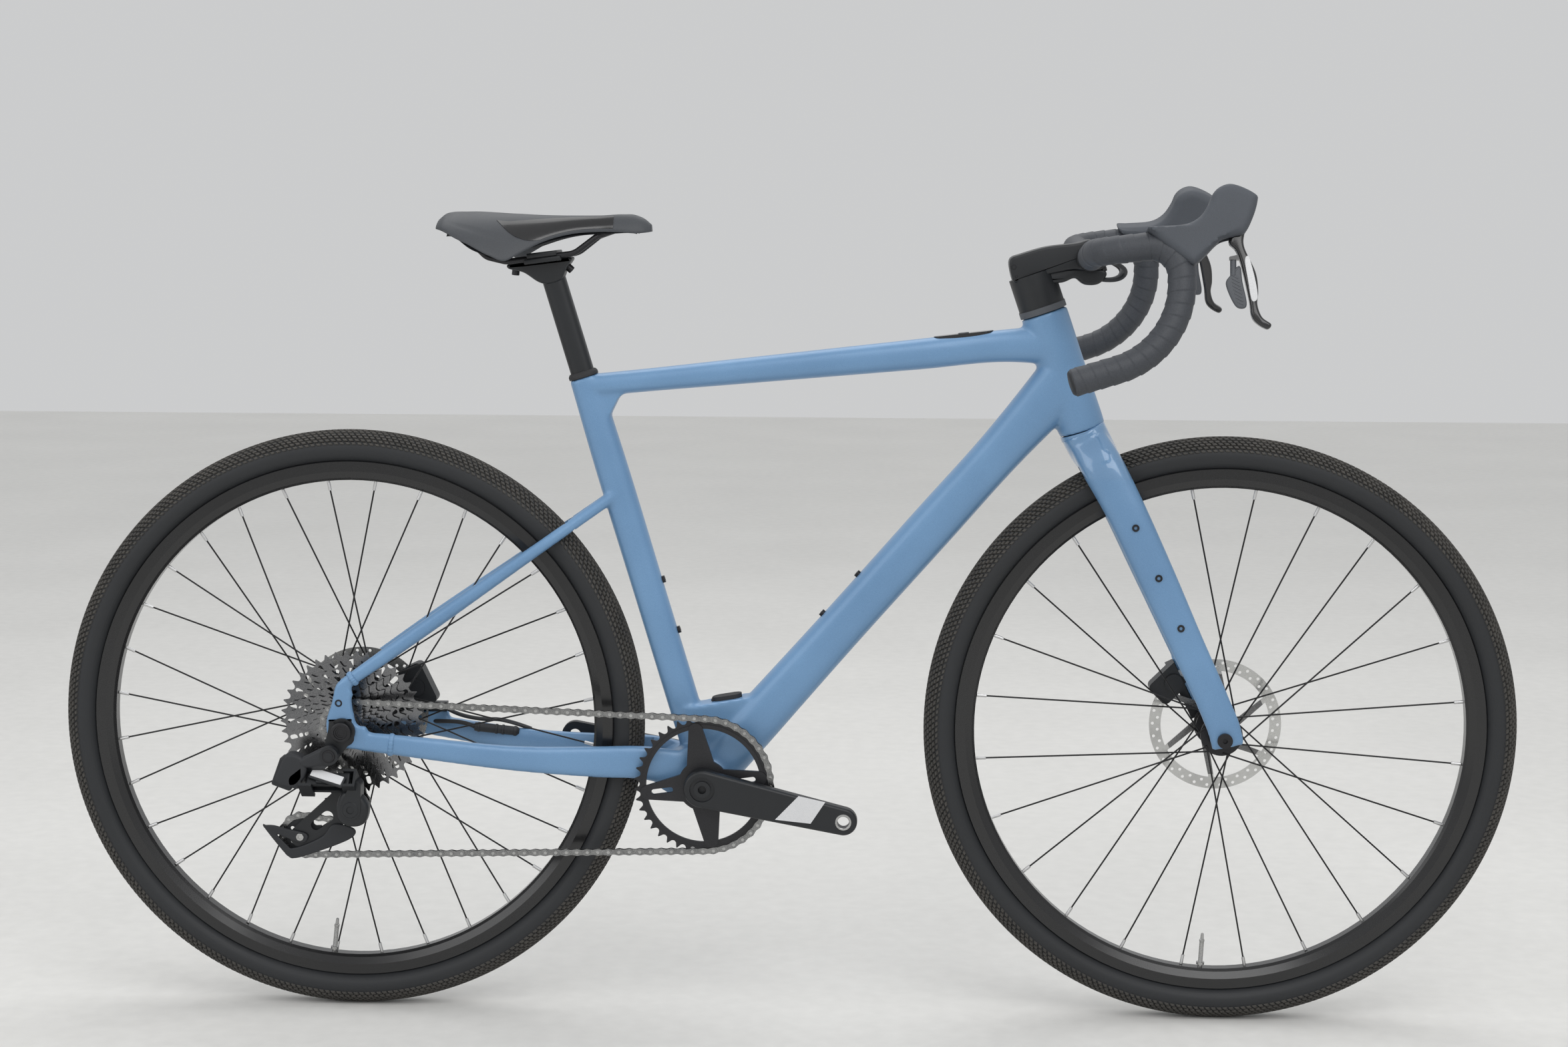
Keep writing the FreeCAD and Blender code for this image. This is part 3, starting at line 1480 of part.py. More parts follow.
def bar_tape():
    """Wound ribs along the bar: four rings for each turn of the tape, drawn with straight sides."""
    count = int((bar_path.Length - 6 - tape_start) / tape_pitch)
    profile = ((0.0, tape_rib), (0.4, tape_rib * 0.6), (0.86, 0.1), (0.97, 0.0))
    rings = []
    sideways = Z_AXIS
    for rib in range(count):
        for share, height in profile:
            place, heading = path_place(tape_start + (rib + share) * tape_pitch)
            sideways = (sideways - heading * sideways.dot(heading)).normalize()
            ring = Part.Wire([Part.Circle(vec(0, 0, 0), Z_AXIS, tape_radius + height).toShape()])
            turn = FreeCAD.Rotation(sideways, heading.cross(sideways), heading, "ZXY")
            ring.Placement = FreeCAD.Placement(place, turn)
            rings.append(ring)
    wound = Part.makeLoft(rings, True, True)
    wound = wound.cut(pipe(bar_path, bar_radius + seat_clearance / 2))
    return both_sides(wound)


# Brake hoods and levers, drawn upright on the right side and then leaned over
hood_corner = bar_corners[3]


def at_lever(x, z):
    """Point in the mid plane of the upright right lever, from the middle of the bar."""
    return bar_centre + vec(x, -bar_half_width, z)


lever_pivot = at_lever(156, 61)
lever_pin_radius = 2.5
hood_stations = (
    (50, 35, 4, 32), (72, 36, -4, 36), (93, 40, -7, 38), (108, 46, 0, 37), (119, 67, 9, 35),
    (130, 80, 19, 34), (144, 81, 27, 32), (158, 77, 37, 29), (170, 69, 51, 22),
)


def leaned(shape):
    """Leans a shape over with the hood and gives it on both sides."""
    turned_shape = shape.copy()
    turned_shape.rotate(hood_corner, X_AXIS, -lever_tilt)
    return both_sides(turned_shape)


def plate_at_lever(points, low, high):
    return polygon_plate([at_lever(x, z) for x, z in points], -bar_half_width + low, -bar_half_width + high)


def brake_hoods():
    sections = []
    for x, top, low, width in hood_stations:
        sections.append(oval(at_lever(x, (top + low) / 2), X_AXIS, width, top - low, 2.5))
    body = loft(sections)
    slot = plate_at_lever(((124, 4), (132, 41), (143, 71), (168, 72), (202, 39), (202, 4)), -7.6, 7.6)
    pin = across(lever_pin_radius, lever_pivot, -bar_half_width - 12, -bar_half_width + 12)
    hoods = leaned(join(body.cut(slot), pin))
    room = pipe(bar_path, tape_radius + tape_rib + 0.3)
    return [hood.cut(both_sides(room)) for hood in hoods]


lever_outline = (
    (150, 66), (161, 68), (164, 60), (161, 45), (156, 30), (156, 15), (168, -12), (171, -33),
    (170, -48), (175, -62), (185, -70), (180, -75), (165, -64), (161, -42), (153.5, -8), (147, 11),
    (139, 22), (147, 45),
)
paddle_outline = (
    (148, -6), (152, -7), (154, -23), (158.5, -45), (156, -52), (146, -49), (136, -26), (141, -15),
)
paddle_pin_radius = 1.5
paddle_hinge_low = at_lever(144, -16)
paddle_hinge_high = at_lever(144, 1)


def brake_levers():
    blade = plate_at_lever(lever_outline, -6.0, 6.0)
    hole = across(lever_pin_radius + running_clearance, lever_pivot, -bar_half_width - 9, -bar_half_width + 9)
    lug = plate_at_lever(((140, 1.4), (151, 1.4), (149, 7), (140, 5)), -3.5, 3.5)
    pin = cylinder(paddle_pin_radius, paddle_hinge_low, paddle_hinge_high + Z_AXIS * 3)
    return leaned(join(blade.cut(hole), lug, pin))


def shift_paddles():
    blade = plate_at_lever(paddle_outline, -2.5, 2.5)
    barrel = cylinder(3.4, paddle_hinge_low + Z_AXIS * 0.5, paddle_hinge_high)
    hole = cylinder(paddle_pin_radius + running_clearance, paddle_hinge_low - Z_AXIS * 12,
                    paddle_hinge_high + Z_AXIS * 5)
    return leaned(join(blade, barrel).cut(hole))


hose_radius = 2.5


def bar_hoses():
    """Brake hoses from the cover under the stem round to the front of the bar."""
    points = [
        bar_centre + vec(9, -11, -25),
        bar_centre + vec(33, -14, -29),
        bar_centre + vec(46, -34, -14),
        bar_centre + vec(14.6, -63, 0.3),
        bar_centre + vec(13.8, -77.2, 1.0),
    ]
    hose = pipe(route(points, (9.0, 12.0, 9.0)), hose_radius)
    return both_sides(hose.cut(stem()))


# Disc brakes
pad_radius = 72.0
pad_length = 24.0
pad_height = 18.0
pad_thickness = 5.0
pad_gap = 0.35
pad_pocket = 0.3
rotor_slot = 1.7
caliper_length = 54.0
caliper_low = -12.0
caliper_high = 20.0
caliper_half_width = 12.0
front_brake_angle = 135.0
rear_brake_angle = 25.6


def brake_block(centre, angle, length, low, high, y_low, y_high):
    """Block round a brake's pad centre: length along the rotor's rim, height outwards from its axis."""
    middle = centre + polar(angle, pad_radius + (low + high) / 2) + Y_AXIS * ((y_low + y_high) / 2)
    return turned_block(middle, polar(angle + 90), Y_AXIS, length, y_high - y_low, high - low)


def pad_side(plane, side, grow=0.0):
    near = plane + side * (rotor_thickness / 2 + pad_gap)
    far = near + side * (pad_thickness + grow)
    return min(near, far), max(near, far)


def brake_pad(centre, angle, plane, side):
    low, high = pad_side(plane, side)
    return brake_block(centre, angle, pad_length, -pad_height / 2, pad_height / 2, low, high)


def caliper_body(centre, angle, plane):
    body = brake_block(centre, angle, caliper_length, caliper_low, caliper_high,
                       plane - caliper_half_width, plane + caliper_half_width)
    ends = [e for e in body.Edges if abs(e.tangentAt(e.FirstParameter).y) > 0.9]
    return body.makeFillet(7.0, ends)


def caliper_rooms(centre, angle, plane):
    slot = brake_block(centre, angle, caliper_length + 20, caliper_low - 30, rotor_radius - pad_radius + 3,
                       plane - rotor_slot, plane + rotor_slot)
    rooms = [slot]
    for side in (-1, 1):
        low, high = pad_side(plane, side, pad_pocket)
        room_low = min(low, plane) if side > 0 else low
        room_high = high if side > 0 else max(high, plane)
        rooms.append(brake_block(centre, angle, pad_length + 2 * pad_pocket, -pad_height / 2 - pad_pocket - 6,
                                 pad_height / 2 + pad_pocket, room_low, room_high))
    return rooms


def caliper_details(centre, angle, plane):
    """Round piston bosses on both faces of a caliper."""
    middle = centre + polar(angle, pad_radius + 2)
    edge = caliper_half_width
    bosses = [across(11.0, middle, plane - edge - 3, plane - edge + 1),
              across(11.0, middle, plane + edge - 1, plane + edge + 3)]
    return bosses


def front_caliper():
    body = caliper_body(front_axle, front_brake_angle, front_rotor_plane)
    foot = brake_foot_block(brake_mount_depth + 0.05, brake_mount_depth + 10, 74)
    details = caliper_details(front_axle, front_brake_angle, front_rotor_plane)[:1]
    leg_room = brake_foot_block(-40, brake_mount_depth + 0.05, 160, -60)
    solid = join(body, foot, *details)
    return solid.cut(caliper_rooms(front_axle, front_brake_angle, front_rotor_plane) + [leg_room])


def rear_caliper():
    body = caliper_body(rear_axle, rear_brake_angle, rear_rotor_plane)
    low = vec(rear_axle.x + 44, rear_rotor_plane + 6, rear_axle.z + rear_foot_height + 0.05)
    foot = block(low, vec(rear_axle.x + 102, 72, rear_axle.z + rear_foot_height + 11))
    details = caliper_details(rear_axle, rear_brake_angle, rear_rotor_plane)
    solid = join(body, foot, *details)
    return solid.cut(caliper_rooms(rear_axle, rear_brake_angle, rear_rotor_plane))


def chainstay_cables():
    """Rear brake hose and motor cable with its plug, along the inner side of the left chain stay."""
    hose = pipe(route([vec(-430, 56, 364), vec(-414, 53, 353), vec(-378, 51, 345.5), vec(-349, 52, 347),
                       vec(-316, 55, 334)], (14.0, 40.0, 40.0)), hose_radius)
    cable = pipe(route([vec(-441, 66, 340), vec(-426, 51.5, 343), vec(-398, 48, 343), vec(-384, 48, 336.5)],
                       (9.0, 14.0)), hose_radius + 0.3)
    plug_axis = vec(58, 1.5, -6).normalize()
    plug_start = vec(-386, 47.8, 337.5)
    plug = cylinder(5.5, plug_start, plug_start + plug_axis * 56)
    ribs = [cylinder(6.2, plug_start + plug_axis * t, plug_start + plug_axis * (t + 3))
            for t in (4, 26, 34, 49)]
    tail = pipe(route([plug_start + plug_axis * 55, plug_start + plug_axis * 66, vec(-306, 56, 322)], (8.0,)),
                hose_radius + 0.3)
    pieces = [hose, join(cable, plug, tail, *ribs)]
    return [piece.cut(chain_stay_sides) for piece in pieces]


# Seatpost and saddle
post_top = seat_tube_length + post_exposed
clamp_middle = along_seat(post_top + clamp_height) - seat_front * clamp_setback
clamp_bolts = (-15.5, 15.5)
rail_along = vec(64, 0, 8).normalize()
rail_normal = vec(-rail_along.z, 0, rail_along.x)


def saddle_rails():
    half = rail_spacing / 2
    points = [
        clamp_middle + vec(-100, -34, 34),
        clamp_middle + vec(-66, -26, 0),
        clamp_middle + rail_along * -44 + vec(0, -half, 0),
        clamp_middle + rail_along * 38 + vec(0, -half, 0),
        clamp_middle + vec(64, -15, 25),
        clamp_middle + vec(84, -10, 32),
    ]
    rail = pipe(route(points, (16.0, 16.0, 24.0, 12.0)), rail_radius)
    return both_sides(rail)


def seatpost():
    half = rail_spacing / 2
    shaft = loft([post_section(seat_tube_length - post_insertion), post_section(post_top - 22)])
    head_centre = clamp_middle - rail_normal * 13
    neck = loft([post_section(post_top - 22),
                 oval(head_centre, seat_up, 30, 26, 2.8)])
    barrel = across(11.4, head_centre, -17, 17)
    post = join(shaft, neck, barrel)
    cradle = turned_block(clamp_middle - rail_normal * 3.1, rail_along, Y_AXIS, 42, rail_spacing + 13, 6)
    lid = turned_block(clamp_middle + rail_normal * 3.3, rail_along, Y_AXIS, 36, rail_spacing + 13, 6)
    grooves = [cylinder(rail_radius + running_clearance, clamp_middle + rail_along * -60 + vec(0, y, 0),
                        clamp_middle + rail_along * 60 + vec(0, y, 0)) for y in (-half, half)]
    bolts = []
    for share in clamp_bolts:
        foot = clamp_middle + rail_along * share
        bolts.append(join(cylinder(2.5, foot - rail_normal * 9, foot + rail_normal * 8),
                          cylinder(4.5, foot + rail_normal * 6.3, foot + rail_normal * 10)))
    cradle = cradle.cut(grooves + [post])
    lid = lid.cut(grooves + [cylinder(2.6, clamp_middle + rail_along * s - rail_normal * 9,
                                      clamp_middle + rail_along * s + rail_normal * 9) for s in clamp_bolts])
    return [join(post, cradle, *bolts), lid]


saddle_stations = (
    (0, 92, 44, 8, 8), (0.04, 116, 50, 15, 11), (0.088, 131, 53, 22, 13), (0.16, 140, 54, 30, 15),
    (0.264, 142, 53, 38, 16),
    (0.384, 120, 51.5, 32, 17), (0.504, 84, 50.5, 20, 18), (0.624, 58, 50.5, 12, 18), (0.752, 46, 51, 9, 18),
    (0.864, 42, 52, 9, 18), (0.928, 38, 50, 9, 16), (0.972, 30, 45, 7, 12), (1, 20, 39, 4, 7),
)
shell_thickness = 3.0
saddle_ring = 18


def saddle_section(share, width, top, fall, upper, lower):
    """Arched closed section at a share of the length: crowned above, hollow below, with rounded edges."""
    x = clamp_middle.x - saddle_setback + share * saddle_length
    points = []
    for step in range(saddle_ring):
        turn = 2 * math.pi * step / saddle_ring
        u, rise = math.cos(turn), math.sin(turn)
        ease = 1 - 0.25 * abs(u)
        middle = clamp_middle.z + top - fall * abs(u) ** 2.4 - (upper + lower) / 2 * ease
        full = math.copysign(abs(rise) ** 0.7, rise)
        points.append(vec(x, u * width / 2, middle + (lower - upper) / 2 * ease * full))
    return points


def skinned(rows):
    """Solid skinned over rows of points; each row is a closed section in a plane square to X."""
    surface = Part.BSplineSurface()
    surface.interpolate([row + row[:1] for row in rows])
    side = surface.toShape()
    ends = []
    for row in (rows[0], rows[-1]):
        boxes = [(e, e.BoundBox) for e in side.Edges]
        rim_edges = [e for e, box in boxes if box.XLength < 1e-3 and abs(box.XMin - row[0].x) < 1e-3]
        ends.append(Part.Face(Part.Wire(rim_edges)))
    shell = Part.makeCompound([side] + ends)
    shell.sewShape()
    solid = Part.Solid(shell.Shells[0])
    solid.fix(1e-6, 1e-6, 1e-6)
    return solid if solid.Volume > 0 else solid.reversed()


def blended(stations, x):
    """Values at x on smooth curves through the listed stations."""
    last = len(stations) - 1

    def slope(index, column):
        before, after = stations[max(index - 1, 0)], stations[min(index + 1, last)]
        return (after[column] - before[column]) / (after[0] - before[0])

    for index in range(last):
        start, end = stations[index], stations[index + 1]
        if start[0] <= x <= end[0]:
            span = end[0] - start[0]
            t = (x - start[0]) / span
            values = []
            for column in range(len(start)):
                ease = t * t * (3 - 2 * t)
                lead = t * (1 - t) ** 2 * span * slope(index, column)
                trail = t * t * (1 - t) * span * slope(index + 1, column)
                values.append(start[column] * (1 - ease) + end[column] * ease + lead - trail)
            return values
    return list(stations[-1])


def saddle_pad():
    sections = []
    for share in even(0, 1, 13):
        x, width, top, fall, depth = blended(saddle_stations, share)
        sections.append(saddle_section(x, width, top, fall, 0, depth))
    return skinned(sections)


def saddle_shell():
    sections = []
    for share in even(0.056, 0.936, 10):
        x, width, top, fall, depth = blended(saddle_stations, share)
        upper = depth + 0.3
        sections.append(saddle_section(x, width - 6, top, fall * 0.96, upper, upper + shell_thickness))
    return skinned(sections)


rails = saddle_rails()
pad_solid = saddle_pad()
shell_solid = saddle_shell().cut(pad_solid).cut(rails)
save("fork", fork())
save("fork_fasteners", front_axle_bolt(), *[item for bolt in fork_bolts for item in both_sides(bolt)])
save("headset_spacers", *headset_spacers())
save("stem", stem())
save("handlebar", handlebar())
save("bar_tape", *bar_tape())
save("brake_hoods", *brake_hoods())
for name, shape in zip(("right", "left"), brake_levers()):
    save(name + "_brake_lever", shape)
for name, shape in zip(("right", "left"), shift_paddles()):
    save(name + "_shift_paddle", shape)
save("bar_hoses", *bar_hoses())
save("front_brake_caliper", front_caliper())
save("rear_brake_caliper", rear_caliper())
for name, centre, angle, plane in (("front", front_axle, front_brake_angle, front_rotor_plane),
                                   ("rear", rear_axle, rear_brake_angle, rear_rotor_plane)):
    save(name + "_inner_pad", brake_pad(centre, angle, plane, -1))
    save(name + "_outer_pad", brake_pad(centre, angle, plane, 1))
save("chainstay_cables", *chainstay_cables())
save("seatpost", *seatpost())
save("saddle_rails", *rails)
save("saddle_shell", shell_solid)
save("saddle_pad", pad_solid.cut(rails))
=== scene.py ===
"""Electric-assist gravel bike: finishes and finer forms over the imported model.

+X forward, +Y to the left, +Z up, origin on the ground between the axles. Lengths are written in
millimetres and become metres when a mesh is made.
"""
import bmesh
import bpy
import math
import numpy as np
from mathutils import Matrix


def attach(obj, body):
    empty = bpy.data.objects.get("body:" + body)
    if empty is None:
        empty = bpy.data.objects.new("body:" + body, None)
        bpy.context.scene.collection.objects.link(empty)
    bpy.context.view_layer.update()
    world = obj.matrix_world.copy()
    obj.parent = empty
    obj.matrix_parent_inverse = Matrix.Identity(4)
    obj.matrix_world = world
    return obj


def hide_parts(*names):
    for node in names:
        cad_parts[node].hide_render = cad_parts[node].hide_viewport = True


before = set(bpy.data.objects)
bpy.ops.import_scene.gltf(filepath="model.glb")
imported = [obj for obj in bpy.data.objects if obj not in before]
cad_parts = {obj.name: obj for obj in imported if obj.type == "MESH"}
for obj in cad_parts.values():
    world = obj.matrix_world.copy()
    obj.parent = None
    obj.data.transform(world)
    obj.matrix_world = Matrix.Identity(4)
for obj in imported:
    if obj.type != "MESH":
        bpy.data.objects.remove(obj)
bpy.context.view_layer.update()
scene = bpy.context.scene

MM = 0.001
Y = np.array([0.0, 1.0, 0.0])
Z = np.array([0.0, 0.0, 1.0])
rear_axle = np.array([-524.2, 0.0, 355.0])
front_axle = np.array([524.2, 0.0, 355.0])
crank_axis = np.array([-94.03, 0.0, 289.0])
wheel_room = 364.0
axle_bore = 6.05


def polar(degrees):
    """Unit vector in the plane of the wheels, turned up from +X."""
    return np.array([math.cos(math.radians(degrees)), 0.0, math.sin(math.radians(degrees))])


head_up, head_front = polar(109.0), polar(19.0)
head_low = front_axle + 397.0 * head_up - 43.0 * head_front
seat_up, seat_front = polar(106.9), polar(16.9)


# Node groups and materials
def fed(tree, made, inputs):
    """Fills a node's inputs, named or numbered as i0, i1; a socket is linked and any other value is set."""
    for name, value in inputs.items():
        key = int(name[1:]) if name[0] == "i" and name[1:].isdigit() else name.replace("_", " ")
        if isinstance(value, bpy.types.NodeSocket):
            tree.links.new(value, made.inputs[key])
        else:
            made.inputs[key].default_value = value
    return made


def add(tree, kind, settings=None, **inputs):
    """A shader node with its settings and inputs."""
    made = tree.nodes.new("ShaderNode" + kind)
    for name, value in (settings or {}).items():
        setattr(made, name, value)
    return fed(tree, made, inputs)


def group(name, inputs, outputs):
    """Empty shader group with named sockets; returns its tree, its inputs and its output node."""
    tree = bpy.data.node_groups.new(name, "ShaderNodeTree")
    for label, kind, value in inputs:
        socket = tree.interface.new_socket(label, in_out="INPUT", socket_type="NodeSocket" + kind)
        if value is not None:
            socket.default_value = value
    for label in outputs:
        tree.interface.new_socket(label, in_out="OUTPUT", socket_type="NodeSocketFloat")
    return tree, tree.nodes.new("NodeGroupInput").outputs, tree.nodes.new("NodeGroupOutput").inputs


def uneven_group():
    """Shade mixes a broad cloudy noise with a fine grain; Height is the grain alone."""
    sockets = [("Vector", "Vector", None), ("Broad", "Float", 8.0), ("Fine", "Float", 900.0)]
    tree, given, out = group("uneven", sockets, ["Shade", "Height"])
    broad = add(tree, "TexNoise", Vector=given["Vector"], Scale=given["Broad"], Detail=3.0)
    fine = add(tree, "TexNoise", Vector=given["Vector"], Scale=given["Fine"], Detail=2.0)
    fine_share, broad_share = 0.55, 0.45
    cloud = add(tree, "Math", {"operation": "MULTIPLY"}, i0=broad.outputs["Fac"], i1=broad_share)
    whole = add(tree, "Math", {"operation": "MULTIPLY_ADD"}, i0=fine.outputs["Fac"], i1=fine_share,
                i2=cloud.outputs[0])
    spread = add(tree, "MapRange", {"clamp": True}, Value=whole.outputs[0], From_Min=0.33, From_Max=0.67)
    tree.links.new(spread.outputs["Result"], out["Shade"])
    tree.links.new(fine.outputs["Fac"], out["Height"])
    return tree


def turned_group():
    """Radius is the distance from the wheel's axis; Rings are fine concentric lathe marks on it."""
    sockets = [("Vector", "Vector", None), ("Pitch", "Float", 900.0)]
    tree, given, out = group("turned", sockets, ["Radius", "Rings"])
    flat = add(tree, "VectorMath", {"operation": "MULTIPLY"}, i0=given["Vector"], i1=(1.0, 0.0, 1.0))
    radius = add(tree, "VectorMath", {"operation": "LENGTH"}, i0=flat.outputs["Vector"])
    scaled = add(tree, "Math", {"operation": "MULTIPLY"}, i0=radius.outputs["Value"], i1=given["Pitch"])
    wobble = add(tree, "TexNoise", {"noise_dimensions": "1D"}, W=scaled.outputs[0], Scale=1.0, Detail=2.0)
    tree.links.new(radius.outputs["Value"], out["Radius"])
    tree.links.new(wobble.outputs["Fac"], out["Rings"])
    return tree


def knurl_group():
    """Height of crossed ridges: the product of two sine waves that run at slanted angles."""
    tree, given, out = group("knurl", [("Vector", "Vector", None), ("Scale", "Float", 600.0)], ["Height"])
    waves = []
    slant = 0.6
    for turn in (slant, -slant):
        spun = add(tree, "VectorRotate", {"rotation_type": "Y_AXIS"}, Vector=given["Vector"], Angle=turn)
        waves.append(add(tree, "TexWave", {"wave_type": "BANDS", "bands_direction": "X"},
                         Vector=spun.outputs[0], Scale=given["Scale"], Distortion=0.0))
    first, second = (wave.outputs["Fac"] for wave in waves)
    crossed = add(tree, "Math", {"operation": "MULTIPLY"}, i0=first, i1=second)
    tree.links.new(crossed.outputs[0], out["Height"])
    return tree


uneven, turned_marks, knurl = uneven_group(), turned_group(), knurl_group()


def placed(tree, kind, **inputs):
    """A group node in a material's tree."""
    return add(tree, "Group", {"node_tree": kind}, **inputs)


def linear(colour):
    """Linear value of a display colour."""
    c = np.asarray(colour, float) / 255.0
    return tuple(np.where(c <= 0.04045, c / 12.92, ((c + 0.055) / 1.055) ** 2.4)) + (1.0,)


def mixed(tree, factor, first, second):
    """Colour between two, by a factor."""
    return add(tree, "Mix", {"data_type": "RGBA"}, i0=factor, i6=first, i7=second).outputs[2]


def finish(name, dark, light, rough, broad=8.0, fine=900.0, bump=0.02, distance=0.0002, centre=None,
           marks=0.0, knurled=0.0, band=None, **constants):
    """Principled finish whose colour and roughness follow the uneven shade.

    marks adds lathe rings round a centre, knurled adds crossed ridges, and band paints a second colour
    outside a radius from the centre, with its own share of metal on either side.
    """
    material = bpy.data.materials.new(name)
    material.use_nodes = True
    tree = material.node_tree
    shader = tree.nodes["Principled BSDF"]
    where = tree.nodes.new("ShaderNodeTexCoord").outputs["Object"]
    if centre is not None:
        moved = add(tree, "Mapping", Vector=where)
        moved.inputs["Location"].default_value = tuple(-MM * np.asarray(centre))
        where = moved.outputs[0]
    shade = placed(tree, uneven, Vector=where, Broad=broad, Fine=fine)
    colour = mixed(tree, shade.outputs["Shade"], linear(dark), linear(light))
    height = shade.outputs["Height"]
    if marks or band:
        rings = placed(tree, turned_marks, Vector=where)
        if marks:
            height = add(tree, "Math", {"operation": "MULTIPLY_ADD"}, i0=rings.outputs["Rings"], i1=marks,
                         i2=height).outputs[0]
        if band:
            radius, tint, inner_metal, outer_metal = band
            fade = 0.6
            edge = add(tree, "MapRange", {"clamp": True}, Value=rings.outputs["Radius"],
                       From_Min=radius * MM, From_Max=(radius + fade) * MM)
            colour = mixed(tree, edge.outputs["Result"], colour, linear(tint))
            metal = add(tree, "MapRange", Value=edge.outputs["Result"], To_Min=inner_metal,
                        To_Max=outer_metal)
            tree.links.new(metal.outputs["Result"], shader.inputs["Metallic"])
    if knurled:
        ridges = placed(tree, knurl, Vector=where)
        height = add(tree, "Math", {"operation": "MULTIPLY_ADD"}, i0=ridges.outputs["Height"], i1=knurled,
                     i2=height).outputs[0]
    tree.links.new(colour, shader.inputs["Base Color"])
    spread = add(tree, "MapRange", Value=shade.outputs["Shade"], To_Min=rough[0], To_Max=rough[1])
    tree.links.new(spread.outputs["Result"], shader.inputs["Roughness"])
    relief = add(tree, "Bump", Strength=bump, Distance=distance, Height=height)
    tree.links.new(relief.outputs["Normal"], shader.inputs["Normal"])
    for key, value in constants.items():
        shader.inputs[key.replace("_", " ")].default_value = value
    return material


blue_dark, blue_light = (94, 131, 168), (111, 150, 188)
satin_blue = finish("satin_blue", blue_dark, blue_light, (0.38, 0.48), fine=1600.0, bump=0.04, Metallic=0.12,
                    Coat_Weight=0.3, Coat_Roughness=0.25)
gloss_blue = finish("gloss_blue", blue_dark, blue_light, (0.3, 0.38), fine=1600.0, bump=0.01, Metallic=0.12,
                    Coat_Weight=1.0, Coat_Roughness=0.03)
satin_black = finish("satin_black", (15, 17, 20), (25, 28, 32), (0.38, 0.48), fine=1400.0, bump=0.05)
gloss_black = finish("gloss_black", (20, 20, 21), (29, 29, 31), (0.16, 0.24), fine=700.0, bump=0.01,
                     Coat_Weight=0.4, Coat_Roughness=0.1)
moulded_black = finish("moulded_black", (26, 28, 31), (38, 40, 44), (0.5, 0.62), fine=2200.0, bump=0.12)
moulded_grey = finish("moulded_grey", (66, 69, 74), (82, 85, 90), (0.46, 0.56), fine=2200.0, bump=0.12)
hood_rubber = finish("hood_rubber", (62, 66, 72), (78, 82, 89), (0.6, 0.72), fine=1500.0, bump=0.25,
                     knurled=0.8)
soft_rubber = finish("soft_rubber", (34, 34, 36), (46, 46, 48), (0.65, 0.8), fine=1200.0, bump=0.15)
tape_cloth = finish("tape_cloth", (48, 51, 56), (66, 69, 75), (0.5, 0.64), fine=750.0, bump=0.3)
saddle_skin = finish("saddle_skin", (50, 53, 57), (66, 69, 74), (0.46, 0.58), fine=1100.0, bump=0.22)
bright_steel = finish("bright_steel", (150, 150, 150), (196, 196, 194), (0.24, 0.36), fine=1300.0, bump=0.06,
                      Metallic=1.0)
panel_silver = finish("panel_silver", (196, 197, 199), (216, 216, 217), (0.45, 0.55), fine=1500.0, bump=0.004)
chain_steel = finish("chain_steel", (112, 113, 114), (156, 156, 155), (0.22, 0.34), broad=60.0, bump=0.06,
                     Metallic=1.0)
dark_metal = finish("dark_metal", (40, 40, 42), (56, 56, 58), (0.32, 0.44), fine=1200.0, bump=0.05,
                    Metallic=0.7)
cog_steel = finish("cog_steel", (84, 85, 88), (146, 146, 147), (0.16, 0.28), centre=rear_axle, marks=1.0,
                   bump=0.08, Metallic=1.0)
ring_black = finish("ring_black", (30, 30, 32), (44, 44, 47), (0.34, 0.44), centre=crank_axis, marks=0.6,
                    bump=0.06, Metallic=0.3)


nipple_radius, rotor_track = 281.5, 62.0


def wheel_finishes(name, centre):
    """Tyre, rim, spoke and rotor finishes that read the distance from one axle."""
    return {
        "tyre": finish(name + "_tyre_rubber", (25, 27, 30), (35, 37, 40), (0.5, 0.64), fine=700.0,
                       centre=centre, marks=1.2, bump=0.2, distance=0.0004),
        "tread": finish(name + "_tread_rubber", (54, 53, 51), (76, 73, 69), (0.72, 0.86), broad=40.0,
                        fine=500.0, bump=0.3),
        "rim": finish(name + "_rim_black", (12, 12, 13), (19, 19, 21), (0.2, 0.3), centre=centre, marks=0.3,
                      bump=0.04, Coat_Weight=0.3, Coat_Roughness=0.15),
        "spokes": finish(name + "_spoke_steel", (30, 30, 31), (46, 46, 47), (0.3, 0.4), centre=centre,
                         band=(nipple_radius, (205, 205, 205), 0.6, 1.0), bump=0.03),
        "rotor": finish(name + "_rotor_steel", (96, 96, 97), (132, 132, 132), (0.24, 0.34), centre=centre,
                        marks=1.0, band=(rotor_track, (196, 196, 194), 0.9, 1.0), bump=0.06),
    }


front_finish, rear_finish = wheel_finishes("front", front_axle), wheel_finishes("rear", rear_axle)


# Shells: points, quads and end caps
def grid(rows, closed=False):
    """Shell over rows of rings: neighbouring points make quads, and open end rings are capped."""
    count, ring = rows.shape[:2]
    r = np.arange(count if closed else count - 1)[:, None]
    c = np.arange(ring)[None, :]
    step, turn = (r + 1) % count, (c + 1) % ring
    quads = np.stack([r * ring + c, r * ring + turn, step * ring + turn, step * ring + c], -1).reshape(-1, 4)
    caps = [] if closed else [np.arange(ring), np.arange(ring) + (count - 1) * ring]
    return rows.reshape(-1, 3), quads, caps


def joined(shells):
    """Several shells as one."""
    starts = np.cumsum([0] + [len(p) for p, q, c in shells[:-1]])
    points = np.concatenate([p for p, q, c in shells])
    quads = np.concatenate([q + s for (p, q, c), s in zip(shells, starts)])
    return points, quads, [cap + s for (p, q, c), s in zip(shells, starts) for cap in c]


def flipped(shell):
    """The same shell on the other side of the bike."""
    points, quads, caps = shell
    return points * (1, -1, 1), quads, caps


def both(shell):
    """A right-hand shell and its twin on the left."""
    return [shell, flipped(shell)]


